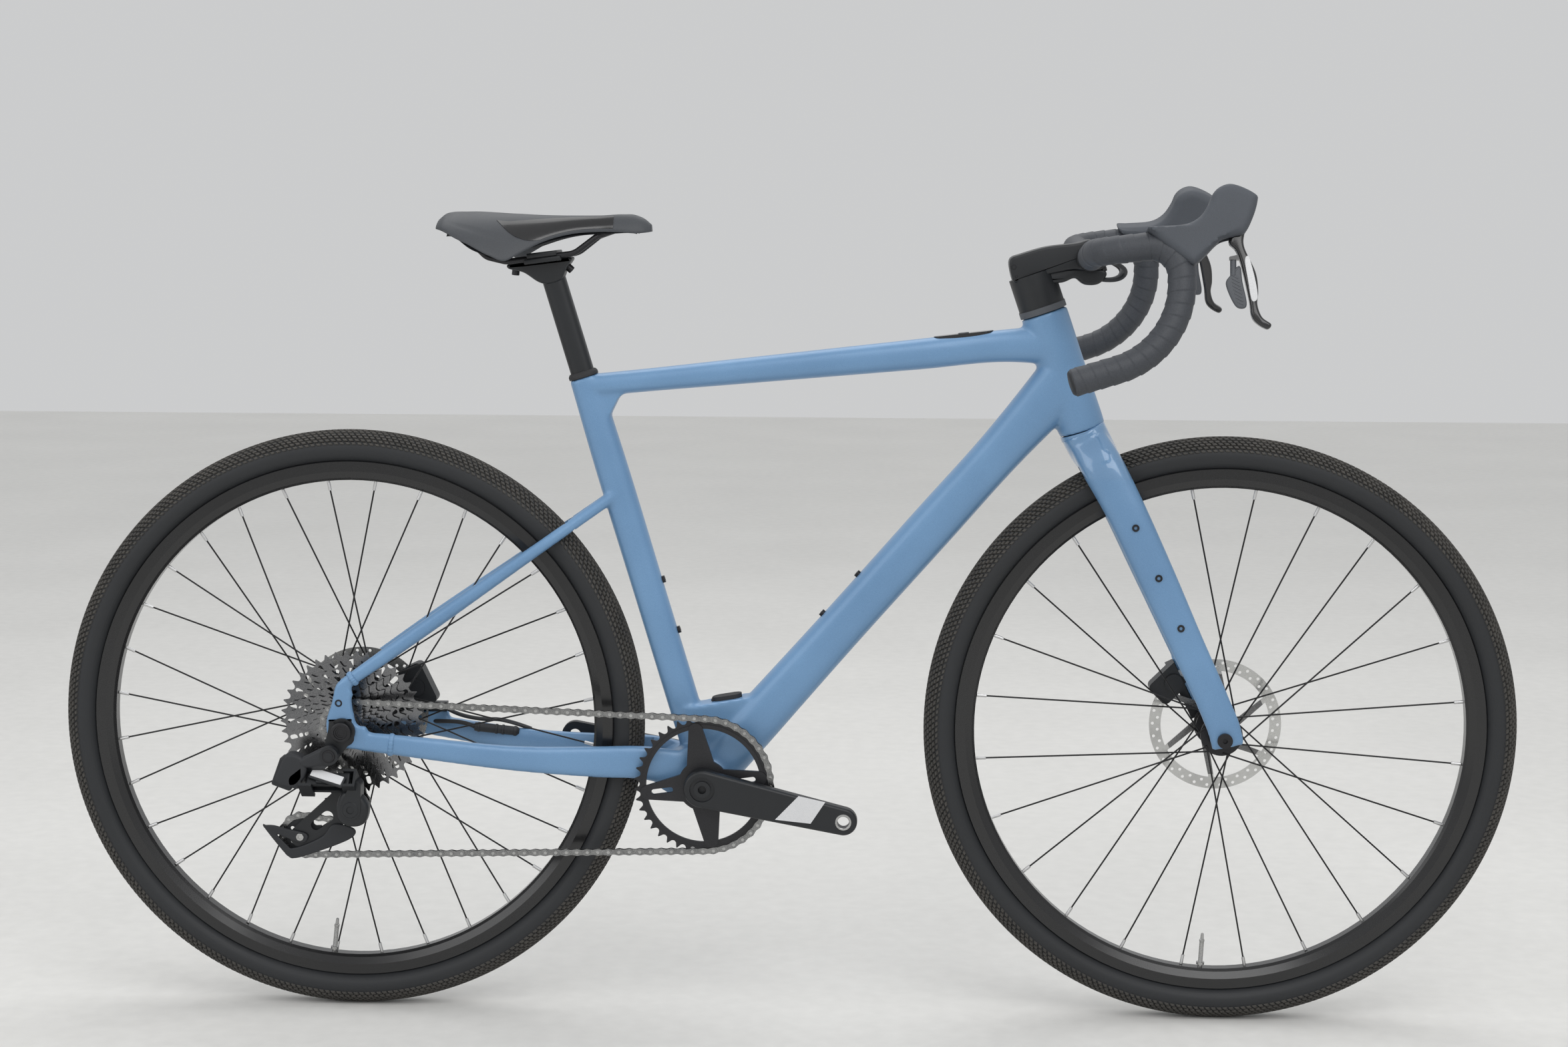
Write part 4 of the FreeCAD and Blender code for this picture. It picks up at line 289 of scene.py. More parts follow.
def solid(name, shells):
    """Mesh object from closed shells, with its faces turned outwards."""
    points, quads, caps = joined(shells)
    mesh = bpy.data.meshes.new(name)
    mesh.from_pydata(points * MM, [], quads.tolist() + [cap.tolist() for cap in caps])
    work = bmesh.new()
    work.from_mesh(mesh)
    bmesh.ops.recalc_face_normals(work, faces=work.faces)
    work.to_mesh(mesh)
    work.free()
    made = bpy.data.objects.new(name, mesh)
    scene.collection.objects.link(made)
    return made


def settled(made):
    """Applies the modifiers of an object to its mesh."""
    bpy.context.view_layer.update()
    result = bpy.data.meshes.new_from_object(made.evaluated_get(bpy.context.evaluated_depsgraph_get()))
    made.modifiers.clear()
    made.data = result
    return made


def carved(made, shells):
    """Cuts closed shells out of an object."""
    tool = solid(made.name + "_tool", shells)
    cut = made.modifiers.new("cut", "BOOLEAN")
    cut.operation, cut.solver, cut.object = "DIFFERENCE", "EXACT", tool
    settled(made)
    bpy.data.objects.remove(tool)
    return made


def softened(made, width):
    """Rounds every edge of an object with a three-step bevel."""
    soft = made.modifiers.new("soft", "BEVEL")
    soft.width, soft.segments = width * MM, 3
    return settled(made)


def fused(name, shells, voxel, passes):
    """Overlapping shells made one skin on a fine grid, then eased so that their joints run together."""
    made = solid(name, shells)
    skin = made.modifiers.new("skin", "REMESH")
    skin.mode, skin.voxel_size = "VOXEL", voxel * MM
    ease = made.modifiers.new("ease", "SMOOTH")
    ease.factor, ease.iterations = 0.5, passes
    return settled(made)


def dress(made, material, body, nodes=(), sharp=38.0):
    """Shades an object, gives it its finish, and lets it ride and stand for CAD nodes."""
    if made.type == "MESH":
        made.data.shade_smooth()
        made.data.set_sharp_from_angle(angle=math.radians(sharp))
    made.data.materials.clear()
    made.data.materials.append(material)
    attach(made, body)
    if nodes:
        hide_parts(*nodes)
    return made


# Curves and sections
def unit(v):
    """Vectors divided by their length."""
    return v / np.linalg.norm(v, axis=-1, keepdims=True)


def eased(knots, rows, at):
    """Rows at places between knots: cubic pieces whose slope at a knot is that of its two neighbours."""
    slope = np.gradient(rows, knots, axis=0)
    k = np.clip(np.searchsorted(knots, at, side="right") - 1, 0, len(knots) - 2)
    h = (knots[k + 1] - knots[k])[..., None]
    u = (at - knots[k])[..., None] / h
    ease = u * u * (3 - 2 * u)
    lead = u * (1 - u) ** 2 * h * slope[k]
    trail = u * u * (1 - u) * h * slope[k + 1]
    return rows[k] * (1 - ease) + rows[k + 1] * ease + lead - trail


def flowing(stations, count):
    """Even rows along stations, by the distance between their places."""
    s = np.asarray(stations, float)
    t = np.concatenate([[0.0], np.cumsum(np.linalg.norm(np.diff(s[:, :3], axis=0), axis=1))])
    return eased(t, s, np.linspace(0.0, t[-1], count))


def oval_ring(power, around):
    """Unit section: cosine and sine, each raised to two over the power."""
    turn = np.linspace(0, 2 * np.pi, around, endpoint=False)
    c, s = np.cos(turn), np.sin(turn)
    return np.sign(c) * np.abs(c) ** (2 / power), np.sign(s) * np.abs(s) ** (2 / power)


def tube(stations, count=60, power=2.6, around=40, side=None):
    """Shell of ovals along stations of place, width and depth, the width lying along side or else level."""
    rows = flowing(stations, count)
    centre, width, depth = rows[:, :3], rows[:, 3], rows[:, 4]
    along = unit(np.gradient(centre, axis=0))
    across = np.broadcast_to(side, along.shape) if side is not None else unit(np.cross(Z, along))
    across = unit(across - along * np.sum(across * along, axis=1, keepdims=True))
    up = np.cross(along, across)
    u, v = oval_ring(power, around)
    points = (centre[:, None] + across[:, None] * (width[:, None] / 2 * u)[..., None]
              + up[:, None] * (depth[:, None] / 2 * v)[..., None])
    return grid(points)


def turned(profile, start, axis, around=40):
    """Shell of rings: each profile row is a distance along the axis and a radius."""
    axis = unit(np.asarray(axis, float))
    first = unit(np.cross(axis, Z if abs(axis[2]) < 0.9 else Y))
    second = np.cross(axis, first)
    along, radius = np.asarray(profile, float).T
    turn = np.linspace(0, 2 * np.pi, around, endpoint=False)
    ring = np.cos(turn)[:, None] * first + np.sin(turn)[:, None] * second
    return grid(np.asarray(start) + along[:, None, None] * axis + radius[:, None, None] * ring)


def rod(radius, start, end, around=40):
    """Plain round bar between two points, for cutting and filling."""
    start, end = np.asarray(start, float), np.asarray(end, float)
    return turned([(0, radius), (np.linalg.norm(end - start), radius)], start, end - start, around)


def across_bike(radius, centre, low, high, around=40):
    """Round bar along +Y between two distances from a centre."""
    return rod(radius, centre + (0, low, 0), centre + (0, high, 0), around)


def smooth_loop(outline, count):
    """Closed curve through an outline: cubic pieces with the slope of the neighbouring points."""
    p = np.asarray(outline, float)
    t = np.linspace(0, len(p), count, endpoint=False)
    k = t.astype(int)
    u = (t - k)[:, None]
    a, b, c, d = (p[(k + step) % len(p)] for step in (-1, 0, 1, 2))
    square, cube = 2 * a - 5 * b + 4 * c - d, 3 * b - a - 3 * c + d
    return 0.5 * (2 * b + (c - a) * u + square * u ** 2 + cube * u ** 3)


def inward(loop):
    """Unit normals that point into a closed plane curve."""
    run = np.roll(loop, -1, axis=0) - np.roll(loop, 1, axis=0)
    area = np.sum(loop[:, 0] * np.roll(loop[:, 1], -1) - np.roll(loop[:, 0], -1) * loop[:, 1])
    return unit(np.stack([-run[:, 1], run[:, 0]], -1) * np.sign(area))


def pebble(outline, low, high, edge, count=96, steps=5):
    """Plate with rounded edges: an X-Z outline drawn in by a quarter circle towards both faces."""
    loop = smooth_loop(outline, count)
    turn = np.linspace(0, np.pi / 2, steps)
    inset = np.concatenate([edge * (1 - np.sin(turn)), edge * (1 - np.cos(turn))])
    level = np.concatenate([low + edge * (1 - np.cos(turn)), high - edge * (1 - np.sin(turn))])
    flat = loop[None] + inward(loop)[None] * inset[:, None, None]
    return grid(np.stack([flat[..., 0], np.broadcast_to(level[:, None], flat.shape[:2]), flat[..., 1]], -1))


def slab(corners, low, high):
    """Sharp plate over an X-Z outline."""
    p = np.asarray(corners, float)
    return grid(np.stack([np.stack([p[:, 0], np.full(len(p), y), p[:, 1]], -1) for y in (low, high)]))


def beam(middle, along, side, length, width, depth):
    """Block whose length, width and depth lie along three square directions."""
    along, side = unit(np.asarray(along, float)), unit(np.asarray(side, float))
    up = np.cross(along, side)
    ends = np.array([[-1], [1]]) * length / 2 * along
    ring = np.array([(-1, -1), (1, -1), (1, 1), (-1, 1)], float) / 2
    wide, deep = ring[None, :, :1] * width * side, ring[None, :, 1:] * depth * up
    return grid(np.asarray(middle) + ends[:, None] + wide + deep)


# Frame skin
def at_seat(t):
    """Point on the seat tube's axis, a distance up from the bracket."""
    return crank_axis + seat_up * t


down_aim = head_low + 64.8 * head_up
down_length = float(np.linalg.norm(down_aim - crank_axis))
down_up = (down_aim - crank_axis) / down_length
top_rear, top_front = at_seat(497.0), head_low + 111.0 * head_up
top_length = float(np.linalg.norm(top_front - top_rear))
top_along = (top_front - top_rear) / top_length
top_normal = np.array([-top_along[2], 0, top_along[0]])
crest_rear = top_rear + top_along * 66 + top_normal * 13.5
crest_front = top_rear + top_along * (top_length - 50) + top_normal * 19.5
crest_along = unit(crest_front - crest_rear)
crest_normal = np.array([-crest_along[2], 0, crest_along[0]])
controller_middle = crest_front - crest_along * 55
crotch_rear, crotch_front = at_seat(92.0), crank_axis + down_up * 144.0
crotch_along = unit(crotch_front - crotch_rear)
crotch_normal = np.array([-crotch_along[2], 0, crotch_along[0]])
port_middle = crotch_rear + (crotch_front - crotch_rear) * 0.43


def station(place, width, depth):
    """One row of a tube: its centre, width and depth."""
    return (*place, width, depth)


def top_station(t, depth, flare, width):
    """Station on the top tube whose upper edge stays in line while the flare hangs below."""
    return station(top_rear + top_along * t - top_normal * flare / 2, width, depth + flare)


def stay_point(share, y, height):
    """Point a share of the way from the bracket to the axle, set out to the right and raised."""
    return crank_axis + (rear_axle - crank_axis) * share + np.array([0, -y, height])


def seat_stay_point(share, y):
    """Point a share of the way down the seat stays, set out to the right."""
    return at_seat(364.0) + (rear_axle + (1, 0, 55) - at_seat(364.0)) * share - (0, y, 0)


def main_tubes():
    """Head, top, down and seat tubes, the bracket and its crotch."""
    head = turned([(0, 26.5), (1, 28.0), (14, 28.2), (70, 27.6), (133, 27.9), (146, 27.7), (147, 26.5)],
                  head_low, head_up, 48)
    seat = tube([station(at_seat(t), w, d) for t, w, d in (
        (0, 35, 38), (230, 35, 38), (406, 34, 38.5), (508, 33, 35))], side=Y)
    down = tube([station(crank_axis + down_up * t, w, d) for t, w, d in (
        (0, 56, 58), (76, 55, 58), (152, 53, 56), (220, 52.4, 54.4), (420, 52.4, 54.4),
        (down_length - 110, 52.4, 54.6), (down_length - 55, 53.5, 60), (down_length, 55, 68))],
        power=2.8, side=Y)
    mid = np.linspace(66, top_length - 50, 5)
    top = tube([top_station(0, 27, 0, 33), top_station(34, 27.2, 0, 35.5)]
               + [top_station(t, d, 0, 36.4) for t, d in zip(mid, np.linspace(27.4, 39.4, 5))]
               + [top_station(top_length, 39, 8, 54)], side=Y)
    gusset_corners = (
        at_seat(498), at_seat(450), at_seat(450) + seat_front * 14, at_seat(459) + seat_front * 21,
        top_rear + top_along * 38 - top_normal * 17, top_rear + top_along * 48 - top_normal * 11,
        top_rear + top_along * 30)
    gusset = slab([(q[0], q[2]) for q in gusset_corners], -12, 12)
    shell = turned([(-42, 23.5), (-41, 25), (41, 25), (42, 23.5)], crank_axis, Y, 48)
    flank = slab([(p[0], p[2]) for p in (crank_axis, crotch_rear, crotch_front)], -19.5, 19.5)
    return [head, seat, down, top, gusset, shell, flank]


def rear_tubes():
    """Yoke, chain stays, seat stays with their bridge, dropouts and the pad under the rear brake."""
    yoke = slab([(crank_axis[0] + x, crank_axis[2] + z) for x, z in (
        (0, -24), (-38, -19), (-58, -6), (-62, 14), (-54, 28), (-22, 42), (0, 44))], -32, 32)
    chain_stay = tube([station(stay_point(s, y, h), w, d) for s, y, h, w, d in (
        (0.06, 27, 10, 16, 45), (0.17, 34, 12, 16, 41), (0.30, 39.5, 5, 16, 38), (0.52, 53, -4, 16, 30.5),
        (0.76, 66, -7, 15, 26.5), (0.95, 74.5, -9, 10, 23.5))], power=3.0)
    seat_stay = tube([station(seat_stay_point(s, y), w, d) for s, y, w, d in (
        (0.0, 10, 14.4, 14.4), (0.12, 20, 14.4, 14.4), (0.25, 33, 14.4, 14.4), (0.42, 43, 15.9, 15.9),
        (0.75, 61, 18.2, 18.2), (1.0, 74.5, 10.5, 15.4))], power=2.2)
    bridge = rod(6.2, seat_stay_point(0.1, -19), seat_stay_point(0.1, 19))
    dropout_outline = np.array([
        (-6, 58), (8, 53), (13, 44), (11, 36), (17, 8), (29, 4), (29, -20), (10, -22), (-6, -19), (-16, -11),
        (-20, 2), (-19, 15), (-13, 33)])
    dropout = pebble(dropout_outline + (rear_axle[0], rear_axle[2]), -79.3, -70.8, 2)
    foot = beam((rear_axle[0] + 73, 67, rear_axle[2] - 7.5), (1, 0, 0), Y, 62, 10, 13)
    return [yoke, bridge, foot] + both(chain_stay) + both(seat_stay) + both(dropout)


def frame_skin():
    """All tubes of the frame as one eased skin, cut for wheel, bearings, charge port, seatpost and axle."""
    made = fused("frame_skin", main_tubes() + rear_tubes(), 2.4, 7)
    post = tube([station(at_seat(t), 26.8, 28.8) for t in (285, 400, 520)], count=3, power=2.8, side=Y)
    recess = tube([station(controller_middle + crest_along * t + crest_normal * 2.5, w, 13) for t, w in (
        (-36, 6), (-34, 14), (-30, 19), (-26, 20.4), (26, 20.4), (30, 19), (34, 14), (36, 6))],
        count=40, power=8, side=Y)
    bracket_bore, head_bore, port_bore = 20.5, 23.0, 8.1
    carved(made, [
        across_bike(wheel_room, rear_axle, -29, 29, 256),
        across_bike(bracket_bore, crank_axis, -50, 50),
        rod(head_bore, head_low - 5 * head_up, head_low + 155 * head_up),
        rod(port_bore, port_middle - crotch_normal * 14, port_middle + crotch_normal * 12), post, recess,
        across_bike(axle_bore, rear_axle, 60, 90), across_bike(axle_bore, rear_axle, -90, -60),
    ])
    tubes = ("head_tube", "top_tube", "down_tube", "seat_tube", "bottom_bracket_shell", "chain_stays",
             "seat_stays")
    dress(made, satin_blue, "frame", tubes)


# Fork, as distances from the front axle: forward, up, out to the side, then width and depth
leg_stations = [
    (-166, 352, 14, 24, 46), (-150, 325, 28, 36, 50), (-127, 283, 39, 31, 47.5), (-83.5, 193, 48, 24.8, 44.5),
    (-46.2, 113, 53, 20.4, 40.5), (-12, 40, 57, 16, 38.5), (1, 8, 57.5, 14.5, 39), (5, -9, 57.5, 14, 38)]
crown_stations = [(-160.5, 343, 62, 54.5), (-151, 327, 78, 52), (-139, 304, 94, 48), (-128, 283, 102, 44)]
gloss_edge = 662.0


def fork_skin():
    """Legs, crown, steerer and brake mount as one skin, parted where the crown's gloss paint ends."""
    leg = tube([station(front_axle + (x, -y, z), w, d) for x, z, y, w, d in leg_stations], side=Y)
    crown = tube([station(head_low - head_up * 0.5, 55.5, 55)]
                 + [station(front_axle + (x, 0, z), w, d) for x, z, w, d in crown_stations],
                 power=2.5, side=Y)
    along = unit(np.array([118.5, 0, -239.0]))
    behind = np.array([along[2], 0, -along[0]])
    mount = beam(front_axle + (-15.6, 55.5, 50.9) + behind * 11.5, along, Y, 84, 19, 19)
    steerer = rod(14.3, head_low - 12 * head_up, head_low + 217 * head_up)
    made = fused("fork_skin", both(leg) + [crown, mount, steerer], 2.2, 7)
    carved(made, [
        across_bike(wheel_room, front_axle, -29.5, 29.5, 256),
        across_bike(axle_bore, front_axle, 45, 70), across_bike(axle_bore, front_axle, -70, -45),
    ])
    top = bpy.data.objects.new("fork_crown_skin", made.data.copy())
    scene.collection.objects.link(top)
    reach = 400
    for part, way in ((made, reach), (top, -reach)):
        carved(part, [beam((front_axle[0], 0, gloss_edge + way), Z, Y, 2 * reach, reach, 3 * reach)])
    dress(made, satin_blue, "steering", ("fork",))
    dress(top, gloss_blue, "steering")
    collar = turned([(-7, 26.8), (-6.6, 27.6), (-0.9, 27.6), (-0.5, 27.2)], head_low, head_up, 64)
    dress(solid("crown_collar", [collar]), gloss_blue, "steering")


# Tyres
def arc_through(a, b, c, count):
    """Points on the circle through three plane points."""
    a, b, c = (np.asarray(p, float) for p in (a, b, c))
    m = np.linalg.solve(2 * np.array([b - a, c - a]), np.array([b @ b - a @ a, c @ c - a @ a]))
    radius = np.linalg.norm(a - m)
    first, second, last = (math.atan2(*(p - m)[::-1]) for p in (a, b, c))
    turn = np.unwrap([first, second, last])
    angle = np.linspace(turn[0], turn[2], count)
    return m + radius * np.stack([np.cos(angle), np.sin(angle)], -1)


casing_radius = 353.4
bead_radius, bead_half = 311.2, 11.0
# Rows of knobs: place across the tyre, length, width, height and shift along the row
knob_rows = ((0.0, 4.4, 2.6, 1.6, 0.0), (4.4, 4.6, 2.6, 1.6, 0.5), (8.8, 4.6, 2.8, 1.8, 0.0),
             (12.8, 4.6, 2.8, 2.1, 0.5), (16.2, 4.6, 2.8, 2.4, 0.0), (19.0, 4.4, 2.6, 2.4, 0.5),
             (21.0, 4.0, 2.4, 1.8, 0.0))
knob_count = 300


def tyre_skin(name, centre, body, finishes):
    """Carcass profile turned about the axle, with rows of tapered knobs set on its crown and shoulders.

    The profile runs over straight beads, round sidewalls and a flatter crown, as radius against width.
    """
    edge = (casing_radius - 6.5, 14.4)
    left = arc_through((bead_radius + 6.2, bead_half), (casing_radius - 20, 22.4), edge, 14)
    crown = arc_through(edge, (casing_radius, 0.0), (edge[0], -edge[1]), 18)[1:-1]
    right = left[::-1] * (1, -1)
    loop = np.concatenate([[(bead_radius, bead_half)], left, crown, right, [(bead_radius, -bead_half)]])
    turn = np.linspace(0, 2 * np.pi, 360, endpoint=False)
    rim_way = np.stack([np.cos(turn), np.zeros_like(turn), np.sin(turn)], -1)
    carcass = grid(centre + rim_way[:, None] * loop[None, :, :1] + Y * loop[None, :, 1:], closed=True)
    half = np.concatenate([left, crown])[:, ::-1]
    half = half[half[:, 1] > casing_radius - 20]
    order = np.argsort(half[:, 0])
    corners = np.array([(-1, -1), (1, -1), (1, 1), (-1, 1)], float)
    faces = np.array([(0, 1, 2, 3), (7, 6, 5, 4), (0, 4, 5, 1), (1, 5, 6, 2), (2, 6, 7, 3), (3, 7, 4, 0)])
    slant, sunk, foot = 0.9, -0.5, 1.3
    knobs = []
    for place, long, wide, height, shift in knob_rows:
        for side in ((1,) if place == 0 else (1, -1)):
            near = np.interp([place - 0.3, place, place + 0.3], half[order, 0], half[order, 1])
            slope = (near[2] - near[0]) / 0.6
            angle = (np.arange(knob_count) + shift) * 2 * np.pi / knob_count
            out = np.stack([np.cos(angle), np.zeros_like(angle), np.sin(angle)], -1)
            forward = np.stack([-np.sin(angle), np.zeros_like(angle), np.cos(angle)], -1)
            normal = unit(out - slope * side * Y)
            across = np.cross(normal, forward)
            base = centre + out * near[1] + Y * place * side
            rows = []
            for level, grow in ((sunk, foot), (height, 1.0)):
                a = corners[:, :1] * long / 2 * grow + corners[:, 1:] * side * slant
                b = corners[:, 1:] * wide / 2 * grow
                rows.append(base[:, None] + normal[:, None] * level
                            + forward[:, None] * a + across[:, None] * b)
            points = np.concatenate(rows, axis=1).reshape(-1, 3)
            quads = (faces[None] + 8 * np.arange(knob_count)[:, None, None]).reshape(-1, 4)
            knobs.append((points, quads, []))
    dress(solid(name + "_skin", [carcass]), finishes["tyre"], body, (name,))
    dress(solid(name + "_tread", knobs), finishes["tread"], body)


# Handlebar tape
bar_corners = np.array([(358, 0, 921), (357, -50, 921), (352, -202, 931),
                        (446, -208, 941), (446, -233, 824), (326, -241, 788)], float)
bar_bends = (60.0, 40.0, 34.0, 100.0)
bar_step = 0.8


def bar_line(step):
    """Even points along the bar: straight runs joined at each corner by an arc of its bend radius."""
    points = [bar_corners[:1]]
    for before, corner, after, radius in zip(bar_corners, bar_corners[1:], bar_corners[2:], bar_bends):
        arrive, leave = unit(corner - before), unit(after - corner)
        turn = math.acos(arrive @ leave)
        reach = radius * math.tan(turn / 2)
        inner = unit(leave - arrive) * radius / math.cos(turn / 2) + corner
        sweep = np.linspace(0, turn, 24)[:, None]
        out = unit(corner - arrive * reach - inner)
        points.append(inner + radius * (np.cos(sweep) * out + np.sin(sweep) * arrive))
    points = np.concatenate(points + [bar_corners[-1:]])
    t = np.concatenate([[0], np.cumsum(np.linalg.norm(np.diff(points, axis=0), axis=1))])
    q = np.arange(0, t[-1], step)
    return np.stack([np.interp(q, t, points[:, axis]) for axis in range(3)], -1), q


def carried(line):
    """Side and up vectors carried along a line without twist: the last side is laid flat on each section."""
    along = unit(np.gradient(line, axis=0))
    side = np.zeros_like(along)
    last = np.cross(along[0], Z)
    for index, way in enumerate(along):
        last = unit(last - way * (last @ way))
        side[index] = last
    return side, np.cross(along, side)


def bar_tape():
    """Tape wound in a helix: the radius ramps up over each pitch and drops at the lapped edge."""
    tape_start, tape_pitch, tape_radius, lap_rise, lap_edge = 78.0, 14.5, 15.2, 0.8, 0.92
    end_length, end_fall = 2.4, 2.2
    line, place = bar_line(bar_step)
    wound = place >= tape_start
    line, place = line[wound], place[wound]
    side, up = carried(line)
    turn = np.linspace(0, 2 * np.pi, 36, endpoint=False)
    lap = (place[:, None] / tape_pitch - turn[None] / (2 * np.pi)) % 1.0
    drop = np.clip((1 - lap) / (1 - lap_edge), 0, 1) ** 0.6
    radius = tape_radius + lap_rise * np.clip(lap / lap_edge, 0, 1) * drop
    ends = np.minimum(place - place[0], place[-1] - place)
    radius = radius - end_fall * np.clip(1 - ends / end_length, 0, 1)[:, None] ** 2
    ring = np.cos(turn)[None, :, None] * side[:, None] + np.sin(turn)[None, :, None] * up[:, None]
    shell = grid(line[:, None] + ring * radius[..., None])
    dress(solid("bar_tape_wound", both(shell)), tape_cloth, "steering", ("bar_tape",))


def bar_ends():
    """Domed plugs in the bar ends and the bands that close the tape beside the stem."""
    line, place = bar_line(bar_step)
    way = unit(line[-1] - line[-12])
    plug = turned([(-3, 12.5), (-1.5, 14.2), (0.4, 14.2), (2.2, 12.4), (3.0, 8.0), (3.2, 2.0)], line[-1], way)
    start = line[np.searchsorted(place, 66.0)]
    towards = unit(line[np.searchsorted(place, 84.0)] - start)
    band = turned([(0, 12.1), (0.5, 14.6), (6, 15.2), (15, 15.9), (18, 15.9), (18.6, 15.0)], start, towards)
    dress(solid("bar_end_plugs", both(plug)), moulded_black, "steering")
    dress(solid("tape_bands", both(band)), gloss_black, "steering")


# Hoods, levers and paddles
hood_corner = bar_corners[3]
lean = -math.radians(12.0)


def leaned(shell):
    """Leans a shell over with the hood, about the bar's corner."""
    points, quads, caps = shell
    turn = np.array([[1, 0, 0], [0, math.cos(lean), -math.sin(lean)], [0, math.sin(lean), math.cos(lean)]])
    return (points - hood_corner) @ turn.T + hood_corner, quads, caps


hood_outline = [(407, 956.5), (421, 958), (449, 960.5), (464.5, 969), (474, 983), (479, 995), (487, 1002.5),
                (498, 1005.5), (512, 1001.5), (526, 993.5), (527.5, 987), (523, 970), (514, 951.5),
                (503, 947.5), (487, 942.5), (473, 928.5), (461, 917), (455, 916), (438, 928), (420, 942)]


def hood_skins():
    """Rubber hoods: a rounded plate over the horn's outline, with the lever's slot cut out."""
    slot = slab([(482, 925), (490, 962), (501, 992), (526, 993), (560, 960), (560, 925)], -215.6, -200.4)
    made = fused("brake_hood_skins", both(leaned(pebble(hood_outline, -227, -189, 8.5, 180, 8))), 1.3, 5)
    carved(made, both(leaned(slot)))
    dress(made, hood_rubber, "steering", ("brake_hoods",), sharp=50)


lever_outline = [(508, 987), (519, 989), (522, 981), (519, 966), (514, 951), (514, 936), (526, 909),
                 (529, 888), (528, 873), (533, 859), (543, 851), (538, 846), (523, 857), (519, 879),
                 (511.5, 913), (505, 932), (497, 943), (505, 966)]
plate_outline = [(514, 921), (517.5, 926), (521.5, 915), (526.5, 893), (527.5, 879), (521.5, 877),
                 (517.5, 898)]
paddle_outline = [(506, 915), (510, 914), (512, 898), (516.5, 876), (514, 869), (504, 872), (494, 895),
                  (499, 906)]


def controls():
    """Brake levers with rounded edges, and the shift paddles behind them on their hinge barrels."""
    blade = leaned(pebble(lever_outline, -214, -202, 3.2, 160))
    lug = leaned(slab([(498, 922.4), (509, 922.4), (507, 928), (498, 926)], -211.5, -204.5))
    plate = leaned(pebble(plate_outline, -214.9, -213.2, 0.5, 64))
    paddle = leaned(pebble(paddle_outline, -210.5, -205.5, 1.6, 96))
    barrel = leaned(rod(3.4, (502, -208, 905.5), (502, -208, 922)))
    slant = np.array([0.88, 0, -0.47])
    ribs = [leaned(beam((503.6 + 0.8 * k, -210.6, 904 - 4.2 * k), slant, Y,
                        11.5 - abs(k - 3) * 0.9, 0.9, 1.3)) for k in range(8)]
    for side, turn in (("right", lambda shell: shell), ("left", flipped)):
        lever = side + "_brake_lever"
        dress(solid(side + "_lever_blade", [turn(blade), turn(lug)]), gloss_black, lever + "_body",
              (lever,))
        dress(solid(side + "_lever_plate", [turn(plate)]), panel_silver, lever + "_body")
        dress(solid(side + "_paddle_blade", [turn(shell) for shell in [paddle, barrel] + ribs]), moulded_grey,
              side + "_shift_paddle_body", (side + "_shift_paddle",))


# Saddle
# Stations from the tail forward: place, width, top, fall to the edge and depth
saddle_stations = np.array([
    (0, 100, 964, 8, 11), (6, 116, 969, 13, 14), (14, 126, 971, 18, 15), (24, 133, 971.5, 24, 15),
    (40, 140, 972, 32, 15), (66, 143, 971, 44, 16), (84, 134, 970, 48, 18), (98, 118, 969.5, 40, 18),
    (126, 84, 968.5, 24, 18), (156, 58, 968.5, 15, 18), (188, 46, 969, 12.5, 18), (216, 42, 970, 14, 18),
    (232, 38, 968, 14, 16), (243, 30, 963, 10, 12), (250, 20, 957, 5, 7)], float)
saddle_tail, saddle_length = -410.0, 250.0


def saddle_surface(place, turn, lift=0.0):
    """Section points: the height falls with a power of the share of the half width, and is hollow below."""
    width, top, fall, depth = np.moveaxis(eased(saddle_stations[:, 0], saddle_stations[:, 1:], place), -1, 0)
    u, rise = np.cos(turn), np.sin(turn)
    edge_power, section_power, edge_thin = 2.4, 0.7, 0.25
    part = 1 - edge_thin * np.abs(u)
    below = depth / 2 * part * (1 - np.sign(rise) * np.abs(rise) ** section_power)
    z = top - fall * np.abs(u) ** edge_power - below + lift * rise
    return np.stack([place + saddle_tail, u * (width / 2 + lift), z], -1)


def between(place, start, end, run):
    """Share that rises from nothing to one after start and falls off again before end."""
    return np.clip((place - start) / run, 0, 1) * np.clip((end - place) / run, 0, 1)


def saddle_cover():
    """Padded cover with a channel along its middle and a seam inside each edge, and glossy flank panels."""
    channel_depth, channel_half, seam_depth, seam_share, seam_half = 2.4, 5.5, 0.7, 0.8, 0.025
    place, turn = np.meshgrid(np.linspace(0, saddle_length, 150),
                              np.linspace(0, 2 * np.pi, 96, endpoint=False), indexing="ij")
    points = saddle_surface(place, turn)
    channel = channel_depth * np.exp(-(points[..., 1] / channel_half) ** 2) * between(place, 24, 228, 30)
    edge = np.exp(-((np.abs(np.cos(turn)) - seam_share) / seam_half) ** 2)
    seam = seam_depth * edge * between(place, 12, 236, 20)
    points[..., 2] -= np.where(np.sin(turn) > 0.05, channel + seam, 0.0)
    made = solid("saddle_cover", [grid(points)])
    dress(made, saddle_skin, "seat", ("saddle_pad",), sharp=60)
    across = np.radians(np.linspace(10, 60, 16))
    turn = np.concatenate([across, across[::-1]])[None]
    lift = np.where(np.arange(32) < 16, 0.5, -0.8)[None]
    start = 122 - 52 * (turn - across[0]) / np.ptp(across)
    panel = grid(saddle_surface(start + (206 - start) * np.linspace(0, 1, 50)[:, None], turn, lift))
    dress(solid("saddle_panels", both(panel)), gloss_black, "seat")


